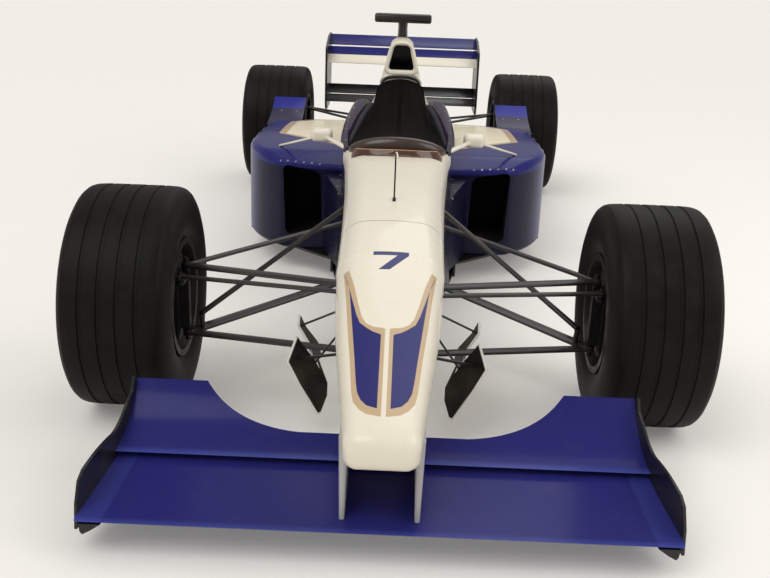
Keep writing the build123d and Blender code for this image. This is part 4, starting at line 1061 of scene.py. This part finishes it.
MOUTH_MIDDLE = (MOUTH_LOW + MOUTH_TOP) / 2
intake = waisted_body("intake", INTAKE, 0.0425)
duct = skin("duct", [
    outline_ring(
        lambda a, b: (a * size, front(station), MOUTH_MIDDLE + (b - MOUTH_MIDDLE) * size),
        mouth_shape(), 0.016, 6,
    )
    for station, size in ((HOOP - 0.05, 1.0), (2.05, 0.86))
])
duct_copy = copied(duct, "duct_copy")
cut(intake, duct)
engine_cover = waisted_body("engine_cover_shell", COVER_BODY, 0.06)
cut(engine_cover, duct_copy)

# The white lip round the mouth.
lip_rings = []
for offset, forward in (
    (0.024, 0.012), (0.025, 0.004), (0.022, -0.004), (0.014, -0.009),
    (0.006, -0.008), (0.001, -0.001), (0.0, 0.012),
):
    spread = mouth_shape(offset, offset, offset * 0.6, offset * 0.7)
    lip_rings.append(outline_ring(across(HOOP + forward), spread, 0.018 + offset, 7))
lip = skin("intake_lip", lip_rings)
hold(lip)
bpy.ops.object.mode_set(mode="EDIT")
bpy.ops.mesh.select_all(action="DESELECT")
mesh = bmesh.from_edit_mesh(lip.data)
for face in mesh.faces:
    face.select = len(face.verts) > 8
bmesh.update_edit_mesh(lip.data)
bpy.ops.mesh.delete(type="ONLY_FACE")
bpy.ops.mesh.select_all(action="DESELECT")
bpy.ops.mesh.select_non_manifold()
bpy.ops.mesh.bridge_edge_loops()
outward()


def in_mouth(spot, way):
    """Faces of the duct behind the mouth."""
    share = (spot.z - MOUTH_LOW) / (MOUTH_TOP - MOUTH_LOW)
    half = MOUTH_HALF_LOW + (MOUTH_HALF_HIGH - MOUTH_HALF_LOW) * share + 0.002
    return abs(spot.x) < half and -0.03 < share < 1.03 and front(HOOP + 0.004) < spot.y < front(2.10)


cover_paint = Finish("cover_paint")
low_blue = 1 - (cover_paint.z - 0.56).above(0.0)
lacquer(cover_paint, cover_paint.blend(low_blue, WHITE, BLUE))
done(intake, cover_paint, "airbox", slot="body_white")
repaint(intake, SHADOW, in_mouth)
done(engine_cover, cover_paint, "engine_cover", slot="body_white")
repaint(engine_cover, SHADOW, lambda spot, way: in_mouth(spot, way) and spot.y > front(1.855))
done(lip, cover_paint, slot="body_white")

# The polished hoop under the mouth, where the cover ends, with its dark seal.


def hoop_arch(name, half, low, rise, thick, back, ahead):
    """An arch over the cover's end: half its width, its foot's height, its rise and its thickness."""
    # Columns: share of the thickness, distance behind the hoop.
    rim = (
        (-0.5, ahead + 0.003), (-0.2, ahead), (0.2, ahead), (0.5, ahead + 0.003),
        (0.5, back), (-0.5, back),
    )
    rings = []
    for spot in range(29):
        turn = math.pi * (0.02 + 0.96 * spot / 28)
        x = half * math.copysign(abs(math.cos(turn)) ** 0.8, math.cos(turn))
        z = low + rise * math.sin(turn) ** 0.7
        out = Vector((math.cos(turn) * 0.7, math.sin(turn) + 0.2)).normalized()
        rings.append([
            (x + out.x * w * thick, front(HOOP + d), z + out.y * w * thick) for w, d in rim
        ])
    return skin(name, rings)


pedestal = hoop_arch("hoop_band", 0.088, 0.742, 0.048, 0.014, 0.014, -0.008)
ledge = hoop_arch("hoop_ledge", 0.084, 0.764, 0.036, 0.010, 0.014, -0.003)
seal = hoop_arch("hoop_seal", 0.086, 0.736, 0.043, 0.005, 0.010, -0.009)
done(pedestal, SILVER, sharp=50)
done(ledge, cover_paint, slot="body_white", sharp=50)
done(seal, PADDING, sharp=50)

# Camera pod

CAMERA_STATION, CAMERA_HEIGHT = 1.900, 1.029
CAMERA_HALF, CAMERA_CHORD, CAMERA_TALL = 0.128, 0.092, 0.038


def camera_ring(x, inset):
    long, tall = CAMERA_CHORD / 2 - inset, CAMERA_TALL / 2 - inset
    place = lambda a, b: (x, front(CAMERA_STATION) + a, CAMERA_HEIGHT + b)
    return outline_ring(place, box_corners(-long, -tall, long, tall), 0.016, 5)


# Columns: distance from the end, inset of the outline there.
camera_ends = ((0.0, 0.007), (0.0015, 0.003), (0.005, 0.001), (0.011, 0.0))
camera_rings = [camera_ring(short - CAMERA_HALF, inset) for short, inset in camera_ends]
camera_rings += [camera_ring(CAMERA_HALF - short, inset) for short, inset in reversed(camera_ends)]
camera_shell = skin("camera_housing", camera_rings)
stem = skin("camera_stem", [
    [(c * wide, front(CAMERA_STATION) + s * long, z) for c, s in circle(32)]
    for z, wide, long in (
        (0.930, 0.026, 0.046), (0.950, 0.0225, 0.043), (0.985, 0.021, 0.041), (1.008, 0.022, 0.041),
        (1.020, 0.026, 0.043),
    )
])
rib_y = front(CAMERA_STATION) - 0.0405
ribs = [bar(f"stem_rib_{spot}", (x, rib_y, 0.948), (x, rib_y, 1.012), 0.0035, 0.006)
        for spot, x in enumerate((-0.010, 0.0, 0.010))]
camera_pod = together("camera_wing", [camera_shell, stem, *ribs])
done(camera_pod, "carbon", "camera_pod")

# Side pods

POD_FRONT, POD_MOUTH, POD_LIP, POD_CHEEK, POD_WAIST, POD_TAIL = 1.270, 1.320, 1.420, 1.650, 2.340, 2.790
POD_OUTER, FLOOR_HALF, POD_TAIL_HALF, POD_ROOT = 0.482, 0.660, 0.400, 0.150
POD_LOW = 0.100
MOUTH = ((0.304, 0.174), (0.464, 0.156), (0.476, 0.458), (0.317, 0.436))
cheek_middle = (POD_OUTER + 0.132, (POD_MOUTH + POD_CHEEK) / 2)
cheek_x, cheek_y, cheek_r = through((POD_OUTER, POD_MOUTH), cheek_middle, (FLOOR_HALF, POD_CHEEK))
crest_y, crest_z, crest_r = through((POD_TAIL, 0.418), (1.900, 0.505), (POD_LIP, 0.505))


def pod_half(station):
    """Outer half width of the side pod at a station."""
    if station < POD_CHEEK:
        return cheek_x + math.sqrt(max(0.0, cheek_r**2 - (station - cheek_y) ** 2))
    if station < POD_WAIST:
        return FLOOR_HALF
    share = (station - POD_WAIST) / (POD_TAIL - POD_WAIST)
    ease = share * share * (3 - 2 * share)
    return FLOOR_HALF + (POD_TAIL_HALF - FLOOR_HALF) * (share * 0.6 + ease * 0.4)


def pod_top(station):
    """Height of the side pod's top at a station: a slope up from its lip, then one long arc."""
    if station < POD_LIP:
        return 0.462 + 0.043 * (station - POD_FRONT) / (POD_LIP - POD_FRONT)
    return crest_z + math.sqrt(max(0.0, crest_r**2 - (station - crest_y) ** 2))


def pod_ring(station, trim=0.0):
    """A ring across the pod, whose outer side lies further back near its slanted front."""
    lean = (POD_MOUTH - POD_FRONT) * max(0.0, 1 - (station - POD_FRONT) / 0.36)
    outer, high = pod_half(station + lean) - trim, pod_top(station) - trim
    low = POD_LOW + trim
    corners = ((POD_ROOT, low), (outer, low), (outer, high - 0.006), (POD_ROOT, high))
    points = []
    for spot, size, steps in ((0, 0.001, 2), (1, 0.022, 8), (2, 0.034, 8), (3, 0.001, 2)):
        points += corner_points(corners, spot, size, steps)
        corner, after = Vector(corners[spot]), Vector(corners[(spot + 1) % 4])
        end, stop = points[-1], after + (corner - after).normalized() * 0.04
        points += [end.lerp(stop, share) for share in (0.2, 0.4, 0.6, 0.8)]
    ring = []
    for point in points:
        back = station + lean * (point.x - POD_ROOT) / (outer - POD_ROOT)
        lift = (pod_top(back) - pod_top(station)) * (point.y - low) / (high - low)
        ring.append((point.x, front(back), point.y + lift))
    return ring


# Columns: distance behind the pod's front, trim of the ring there.
POD_NOSE = ((0.0, 0.007), (0.002, 0.003), (0.006, 0.0007))
pod_rings = [pod_ring(POD_FRONT + back, trim) for back, trim in POD_NOSE]
pod_rings += [pod_ring(station) for station in (
    1.285, 1.31, 1.34, 1.37, 1.40, 1.42, 1.45, 1.49, 1.53, 1.58, 1.63, 1.68, 1.75, 1.83, 1.92,
    2.02, 2.12, 2.22, 2.30, 2.36, 2.43, 2.51, 2.59, 2.66, 2.73, 2.79,
)]
pod_body = skin("pod_left", pod_rings)
# The flared board that leads from the tub's flank to the mouth.
# Columns: station, outer edge, height low and high.
flare = skin("flare", [
    outline_ring(across(station), box_corners(0.13, low, outer, high), 0.010, 3)
    for station, outer, low, high in (
        (0.900, 0.197, 0.122, 0.418), (0.908, 0.200, 0.120, 0.420), (1.300, 0.304, 0.1005, 0.436),
    )
])
cut(pod_body, flare, "UNION")
MOUTH_X, MOUTH_Z = Vector((0.390, 0.317))
mouth_cutter = skin("mouth_cutter", [
    outline_ring(
        lambda a, b: (MOUTH_X + (a - MOUTH_X) * size + shift, front(station), MOUTH_Z + (b - MOUTH_Z) * size),
        MOUTH, 0.026, 6,
    )
    for station, size, shift in (
        (1.20, 1.0, 0.0), (1.42, 1.0, 0.0), (1.60, 1.03, 0.015), (1.745, 1.06, 0.025),
    )
])
cut(pod_body, mouth_cutter)
tail_cutter = skin("tail_cutter", [
    outline_ring(across(station), box_corners(0.262, 0.112, 0.388, 0.400), 0.012, 4)
    for station in (2.60, 2.85)
])
cut(pod_body, tail_cutter)
TUB_OVERLAP = 0.0006
under_tub = skin("under_tub", body_rings([
    (station, low - TUB_OVERLAP, high - TUB_OVERLAP, *rest)
    for station, low, high, *rest in flowing(TUB[2:], 0.05)
]))
cut(pod_body, under_tub)

pod_paint = Finish("pod_paint")
side, station = abs(pod_paint.x), pod_paint.station
PANEL_FRONT, PANEL_HALF, PANEL_BACK = 1.795, 0.517, 2.700
facing = pod_paint.node("ShaderNodeNewGeometry").outputs["Normal"]
facing_up = pod_paint.node("ShaderNodeSeparateXYZ", {}, {0: facing}).outputs[2]
upward = Field(pod_paint, facing_up).above(0.5, 0.05)
inward = PANEL_HALF - side - (station - 2.30).most(0.0) * 0.42
rearward = station - (PANEL_FRONT - (PANEL_HALF - side) * 0.88)
white_panel = upward * inward.above(0.0) * rearward.above(0.0) * (1 - station.above(PANEL_BACK))
border = upward * inward.above(-0.034) * rearward.above(-0.030) * (1 - station.above(PANEL_BACK + 0.014))
# Painted shade: ahead of station 1.5 and below the lip, the pod and its flared board take the darker shaded
# blue.
shade = (1 - station.above(1.50, 0.08)) * (1 - pod_paint.z.above(0.448, 0.003))
base = pod_paint.blend(border, pod_paint.blend(shade, BLUE, SHADED_BLUE), BEIGE)
lacquer(pod_paint, pod_paint.blend(white_panel, base, PANEL_WHITE), 1.2, 0.18, 0.12)


def in_pod_mouth(spot, way):
    """Faces of the pod's duct, behind its mouth."""
    x, z = abs(spot.x), spot.z
    (low_x, low_z), _, _, (top_x, top_z) = MOUTH
    low = low_z - (x - low_x) * 0.1125 - 0.012
    top = top_z + (x - top_x) * 0.138 + 0.012
    deep = spot.y - front(POD_FRONT + max(0.0, x - POD_ROOT) * 0.15)
    walls = 0.300 < x < 0.500 and low < z < top and deep > 0.004 and spot.y < front(1.75)
    return walls and (abs(way.y) < 0.5 or spot.y > front(1.70))


pod_right = mirrored(pod_body, "pod_right")
for pod, name in ((pod_body, "left"), (pod_right, "right")):
    done(pod, pod_paint, f"sidepod_{name}", slot="body_blue", sharp=30)
    repaint(pod, SHADOW, in_pod_mouth)
pod_places = [(0.32 + k * 0.034, 1.300 + k * 0.006, 0.474) for k in range(6)]
pod_places += [(0.23, 0.99 + k * 0.09, 0.425) for k in range(4)]
pod_places += [(0.655, 1.70 + k * 0.155, z) for z in (0.486, 0.122) for k in range(5)]
studs("pod_fasteners_left", pod_body, pod_places, signs=(1,))
studs("pod_fasteners_right", pod_right, pod_places, signs=(-1,))
rail_places = [(x, station, rail_height(station)) for station, x in (
    (1.06, 0.217), (1.24, 0.216), (1.42, 0.212), (1.60, 0.203), (1.70, 0.198),
)]
studs("rail_fasteners", rails, rail_places, 0.004)
cover_places = ((0.17, 1.90, 0.56), (0.17, 2.15, 0.55), (0.17, 2.40, 0.53), (0.16, 2.65, 0.49))
studs("cover_fasteners", engine_cover, cover_places)

# Winglets on the pod shoulders

WINGLET_FRONT, WINGLET_BACK = 2.400, 2.748


def winglet_y(share):
    return front(WINGLET_FRONT + (WINGLET_BACK - WINGLET_FRONT) * share)


def winglet_height(share):
    """Height along the winglet, curling up to its back edge."""
    return 0.440 + 0.020 * share + 0.074 * share**2.2


winglet_rings = []
for x, size in ((0.520, 0.55), (0.522, 1.0), (0.58, 1.0), (0.64, 1.0), (0.689, 1.0), (0.692, 0.55)):
    ring = []
    shares = [s / 14 for s in range(15)]
    for share in shares:
        ring.append((x, winglet_y(share), winglet_height(share) + 0.001 * size))
    for share in reversed(shares):
        thick = 0.0095 * size * (0.25 + 0.75 * math.sin(math.pi * (0.08 + 0.84 * share)) ** 0.5)
        ring.append((x, winglet_y(share) - 0.0005, winglet_height(share) - thick))
    winglet_rings.append(ring)
winglet = skin("winglet", winglet_rings)
plate = skin("winglet_plate", [
    outline_ring(beside(x),
                 ((2.400, 0.105), (2.698, 0.105), (2.744, 0.524), (2.584, 0.458), (2.400, 0.432)), 0.012, 4)
    for x in (0.6525, 0.6595)
])
bevel(plate, 0.0012, 40)
winglets = both(together("winglets", [winglet, plate]), "winglets")
winglet_paint = Finish("winglet_paint")
winglet_colour = winglet_paint.blend(winglet_paint.z.above(0.489), rgb(44, 38, 70), rgb(40, 44, 142))
lacquer(winglet_paint, winglet_colour, 1.2, 0.18, 0.12)
done(winglets, winglet_paint, "flip_ups", slot="body_blue")
winglet_places = (
    (0.54, 2.70, 0.50), (0.60, 2.70, 0.50), (0.67, 2.70, 0.50), (0.56, 2.62, 0.476), (0.64, 2.62, 0.476),
    (0.66, 2.45, 0.15), (0.66, 2.65, 0.15),
)
studs("winglet_fasteners", winglets, winglet_places, 0.004)

# Mirrors

MIRROR_X, MIRROR_HEIGHT = 0.311, 0.596
mirror_rings = []
for station, wide, tall in (
    (1.2272, 0.034, 0.024), (1.229, 0.054, 0.033), (1.234, 0.068, 0.042), (1.245, 0.080, 0.051),
    (1.262, 0.087, 0.056), (1.273, 0.088, 0.057), (1.2735, 0.080, 0.049), (1.269, 0.079, 0.048),
):
    corners = box_corners(-wide / 2, -tall / 2, wide / 2, tall / 2)
    place = lambda a, b: (MIRROR_X + a, front(station), MIRROR_HEIGHT + b)
    mirror_rings.append(outline_ring(place, corners, tall * 0.36, 6))
shell = skin("mirror_shell", mirror_rings)
stay_ends = (MIRROR_X - 0.022, front(1.246), MIRROR_HEIGHT - 0.006), (0.196, front(1.040), 0.589)
stay = bar("mirror_stay", *stay_ends, 0.024, 0.016)
arm_ends = (MIRROR_X + 0.030, front(1.262), MIRROR_HEIGHT - 0.010), (0.510, front(1.490), 0.503)
outer_arm = bar("mirror_arm", *arm_ends, 0.016, 0.010)
mirrors = both(together("mirror_pieces", [shell, stay, outer_arm]), "mirror_pair")
done(mirrors, lacquer(Finish("mirror_paint"), WHITE), "mirrors", slot="body_white")


def on_mirror_glass(spot, way):
    """Faces at the back of a mirror's housing."""
    return way.y > 0.95 and spot.y > front(1.267) and abs(abs(spot.x) - MIRROR_X) < 0.045


repaint(mirrors, metal("mirror_glass", rgb(206, 210, 214), 0.05), on_mirror_glass)

# Front wing

WING_FRONT, WING_BACK = -0.842, -0.416
WING_HALF_FRONT, WING_HALF_BACK = 0.684, 0.642
MAIN_FRONT, MAIN_BACK = -0.862, -0.548
FLAP_FRONT, FLAP_BACK, NOTCH_BACK = -0.590, -0.418, -0.503
NEAR_PLATE = 0.9995


def wing_half(station):
    """Half width between the splayed endplates at a station."""
    slant = (WING_HALF_FRONT - WING_HALF_BACK) / (WING_BACK - WING_FRONT)
    return WING_HALF_FRONT - (station - WING_FRONT) * slant - 0.9 * max(0.0, WING_FRONT - station)


def arc_height(first, second, third, station):
    """Height of an arc through three (station, height) points."""
    cx, cz, radius = through(first, second, third)
    side = 1 if second[1] > cz else -1
    return cz + side * math.sqrt(max(0.0, radius**2 - (station - cx) ** 2))


def wing_rings(first, last, top, under, spans, end_at=lambda span: None, steps=18):
    """Rings across a wing element. spans are shares of the half width from one plate to the other."""
    rings = []
    for span in spans:
        back = end_at(span) or last
        ring = []
        for step in range(steps + 1):
            share = (1 - math.cos(math.pi * step / steps)) / 2
            station = first + (back - first) * share
            ring.append((span * wing_half(station), front(station), top(station)))
        for step in range(steps - 1, 0, -1):
            share = (1 - math.cos(math.pi * step / steps)) / 2
            station = first + (back - first) * share
            lift = min(1.0, share * 12, (1 - share) * 12 + 0.25)
            height = top(station) - (top(station) - under(station)) * lift
            ring.append((span * wing_half(station), front(station), height))
        rings.append(ring)
    return rings


def main_top(station):
    return arc_height((MAIN_FRONT, 0.088), (-0.705, 0.094), (MAIN_BACK, 0.112), station)


def main_under(station):
    share = (station - MAIN_FRONT) / (MAIN_BACK - MAIN_FRONT)
    return main_top(station) - 0.003 - 0.018 * math.sin(math.pi * min(1.0, share) ** 0.6)


even_spans = [(-1 + 2 * step / 24) * NEAR_PLATE for step in range(25)]
main_plane = skin("front_main", wing_rings(MAIN_FRONT + 0.008, MAIN_BACK, main_top, main_under, even_spans))


def flap_top(station):
    return arc_height((FLAP_FRONT, 0.124), (-0.505, 0.152), (FLAP_BACK, 0.246), station)


def flap_under(station):
    return flap_top(station) - 0.0066


NOTCH = ((0.462, FLAP_BACK), (0.352, -0.474), (0.214, NOTCH_BACK))
notch_x, notch_y, notch_r = through(*NOTCH)


def flap_end(span):
    """The flap's back edge steps forward behind the nose."""
    x = abs(span) * wing_half(-0.46)
    if x >= 0.470:
        return FLAP_BACK
    if x <= NOTCH[2][0]:
        return NOTCH_BACK
    side = 1 if notch_y < NOTCH[1][1] else -1
    return min(FLAP_BACK, notch_y + side * math.sqrt(max(0.0, notch_r**2 - (x - notch_x) ** 2)))


notch_spans = {side * span for side in (1, -1) for span in (0.33, 0.716, 0.726)}
flap_spans = sorted({round(k / 40 * NEAR_PLATE, 4) for k in range(-40, 41)} | notch_spans)
flap = skin("front_flap", wing_rings(FLAP_FRONT, FLAP_BACK, flap_top, flap_under, flap_spans, flap_end, 14))
wing_paint = Finish("front_wing_paint")
across_wing, along_wing = abs(wing_paint.x), wing_paint.station
over_flap = wing_paint.z.above(0.118)
# Painted highlights in a lighter blue: along the main plane's leading edge, along the flap's leading edge and
# in a faint band on the main plane near the plates.
leading = along_wing.line(((-0.86, 1.0), (-0.848, 0.8), (-0.830, 0.0), (-0.80, 0.0)))
ends = (across_wing + (along_wing + 0.84) * 0.06 - 0.622).above(0.0, 0.0008) * (1 - over_flap) * 0.14
lip_light = along_wing.line(((-0.591, 0.55), (-0.583, 0.4), (-0.565, 0.0), (-0.4, 0.0))) * over_flap
lit = ends + leading * 0.35 + lip_light
lacquer(wing_paint, wing_paint.blend(lit, BLUE, rgb(84, 96, 186)), 1.2, 0.16, 0.14)
done(main_plane, wing_paint, "front_wing_main", slot="body_blue", sharp=40)
done(flap, wing_paint, "front_wing_flap", slot="body_blue", sharp=40)

# Turning vanes

# Rows from the top down, each from the leading edge to the trailing edge: x, station, height.
VANE = (
    ((0.258, -0.150, 0.273), (0.257, -0.148, 0.270), (0.254, -0.146, 0.262)),
    ((0.279, -0.200, 0.214), (0.248, -0.165, 0.212), (0.212, -0.135, 0.200)),
    ((0.242, -0.226, 0.156), (0.215, -0.185, 0.150), (0.170, -0.150, 0.134)),
    ((0.216, -0.238, 0.119), (0.198, -0.215, 0.112), (0.167, -0.192, 0.112)),
    ((0.190, -0.250, 0.082), (0.187, -0.243, 0.081), (0.181, -0.235, 0.081)),
)
REAR_VANE = (
    ((0.272, 0.050, 0.262), (0.270, 0.051, 0.260), (0.268, 0.052, 0.257)),
    ((0.269, 0.000, 0.246), (0.262, 0.015, 0.240), (0.250, 0.030, 0.232)),
    ((0.233, -0.050, 0.212), (0.224, -0.020, 0.205), (0.212, 0.005, 0.195)),
    ((0.215, -0.100, 0.175), (0.205, -0.060, 0.168), (0.196, -0.030, 0.160)),
)


def vane_point(table, u, v):
    """A point on a vane: u from its leading edge back, v from the top down."""
    row = v * (len(table) - 1)
    low = min(int(row), len(table) - 2)
    line = []
    for spot in (low, low + 1):
        a, b, c = (Vector(point) for point in table[spot])
        line.append(a * (1 - u) * (1 - 2 * u) + b * 4 * u * (1 - u) + c * u * (2 * u - 1))
    point = line[0].lerp(line[1], row - low)
    return Vector((point.x, front(point.y), point.z))


def vane_sheet(name, table, thick):
    """A curved vane laid through its table's rows."""
    clear()
    bpy.ops.mesh.primitive_grid_add(x_subdivisions=12, y_subdivisions=24, size=2)
    piece = named(name)
    for vertex in piece.data.vertices:
        vertex.co = vane_point(table, (vertex.co.x + 1) / 2, (1 - vertex.co.y) / 2)
    modify(piece, "SOLIDIFY", thickness=thick, offset=0.0)
    return bevel(piece, 0.001)


vane = vane_sheet("vane", VANE, 0.0045)
stays = [
    bar("vane_stay_high", (0.250, front(-0.166), 0.212), (0.118, front(-0.330), 0.300), 0.012, 0.006),
    bar("vane_stay_low", (0.206, front(-0.140), 0.190), (0.120, front(-0.200), 0.330), 0.012, 0.006),
]
vanes = both(together("vane_set", [vane, *stays]), "turning_vane_pair")
vane_skin = carbon("vane_carbon")
done(vanes, vane_skin, "turning_vanes", slot="carbon")
rear_stays = [
    bar("rear_vane_stay", (0.262, front(0.018), 0.242), (0.135, front(0.020), 0.300), 0.012, 0.006),
    bar("rear_vane_foot", (0.206, front(-0.062), 0.168), (0.172, front(-0.158), 0.136), 0.012, 0.005),
]
rear_vane = vane_sheet("rear_vane", REAR_VANE, 0.004)
rear_vanes = both(together("rear_vane_set", [rear_vane, *rear_stays]), "rear_vane_pair")
done(rear_vanes, vane_skin, slot="carbon")
# Pale strips along the vanes' leading and bottom edges: painted highlights where the edges catch the light.
vane_edge_highlight = lacquer(Finish("vane_edge_highlight"), rgb(252, 248, 240))
edges = [bead("vane_edge", [vane_point(VANE, 0.0, step / 24) for step in range(25)], 0.0038)]
edges += [bead("vane_foot_edge", [vane_point(VANE, step / 8, 1.0) for step in range(9)], 0.0026)]
edges += [bead("rear_vane_edge", [vane_point(REAR_VANE, 0.0, step / 24) for step in range(25)], 0.0036)]
done(both(together("vane_edges", edges), "vane_highlight_strips"), vane_edge_highlight, sharp=60)

# The dark fences under the front wing's ends.
FENCE = ((0.622, 0.079), (0.646, 0.062), (0.664, 0.052), (0.669, 0.058), (0.672, 0.079))
fence = skin("wing_fence", [
    [(x, front(station), z) for x, z in FENCE] for station in (-0.848, -0.843, -0.720)
])
done(both(fence, "wing_fences"), "carbon")

# Tyres

# Columns: distance in from the side, distance in from the tread.
SIDEWALL = (
    (0.034, 0.1595), (0.020, 0.150), (0.0075, 0.124), (0.0015, 0.096), (0.0, 0.080), (0.0012, 0.060),
    (0.005, 0.040), (0.010, 0.0245), (0.0165, 0.0130), (0.025, 0.0060), (0.036, 0.0026), (0.048, 0.0014),
)
# Columns: distance from the groove's middle, depth under the tread.
GROOVE_EDGE = ((0.0070, 0.0), (0.0064, 0.0008), (0.0052, 0.0038))
GROOVE = (*GROOVE_EDGE, *((-offset, depth) for offset, depth in reversed(GROOVE_EDGE)))
GROOVE_SPOTS = (-0.075, -0.025, 0.025, 0.075)
TYRES_OUT, WELD = 0.8975, 0.00002


def tyre(name, axle, radius, width, spread, side):
    """A grooved tyre, spun from a closed profile about its axle. Its grooves lie spread by a factor."""
    half = width / 2
    centre = side * (TYRES_OUT - half)
    profile = [(half - inset, radius - drop) for inset, drop in SIDEWALL]
    for spot in reversed(GROOVE_SPOTS):
        for offset, depth in GROOVE:
            x = spot * spread + offset
            profile.append((x, radius - 0.0008 * (x / half) ** 2 - depth))
    profile += [(inset - half, radius - drop) for inset, drop in reversed(SIDEWALL)]
    clear()
    bpy.ops.mesh.primitive_circle_add(vertices=len(profile), fill_type="NOTHING")
    piece = named(name)
    for vertex, (x, out) in zip(piece.data.vertices, profile):
        vertex.co = (centre + x, axle, radius + out)
    bpy.ops.object.mode_set(mode="EDIT")
    bpy.ops.mesh.select_all(action="SELECT")
    bpy.ops.mesh.spin(steps=120, angle=math.tau, center=(centre, axle, radius), axis=(1, 0, 0))
    bpy.ops.mesh.select_all(action="SELECT")
    bpy.ops.mesh.remove_doubles(threshold=WELD)
    outward()
    return piece


# Columns: end of the car, axle, radius, width, spread of the grooves.
AXLES = (("front", FRONT_AXLE, 0.325, 0.305, 1.0), ("rear", REAR_AXLE, 0.330, 0.365, 1.15))
for side, sign in SIDES:
    for end, *sizes in AXLES:
        piece = tyre(f"tyre_{end}_{side}", *sizes, sign)
        done(piece, "tyre_rubber", f"{end}_tyre_{side}", sharp=22, body=f"{end}_wheel_{side}")

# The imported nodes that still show: welded, softened edges and a finish of their own.

wing_blue = Finish("rear_wing_paint")
white_band = 1 - wing_blue.z.above(0.714)
lacquer(wing_blue, wing_blue.blend(white_band, BLUE, WHITE), 1.2, 0.18, 0.12)
OWN_FINISH = {"rear_wing_main": wing_blue}

for entry in frame["record"]["subparts"]:
    node = frame["nodes"].get(entry["node"])
    if node is None or node.hide_render:
        continue
    node.data.materials.clear()
    node.data.materials.append(OWN_FINISH.get(entry["node"], FINISHES[entry["material_slot"]]).material)
    weld = node.modifiers.new("weld", "WELD")
    weld.merge_threshold = WELD
    soften = node.modifiers.new("soften", "BEVEL")
    soften.width = 0.0008
    soften.segments = 2
    soften.limit_method = "ANGLE"
    soften.angle_limit = math.radians(45)
    soften.harden_normals = False
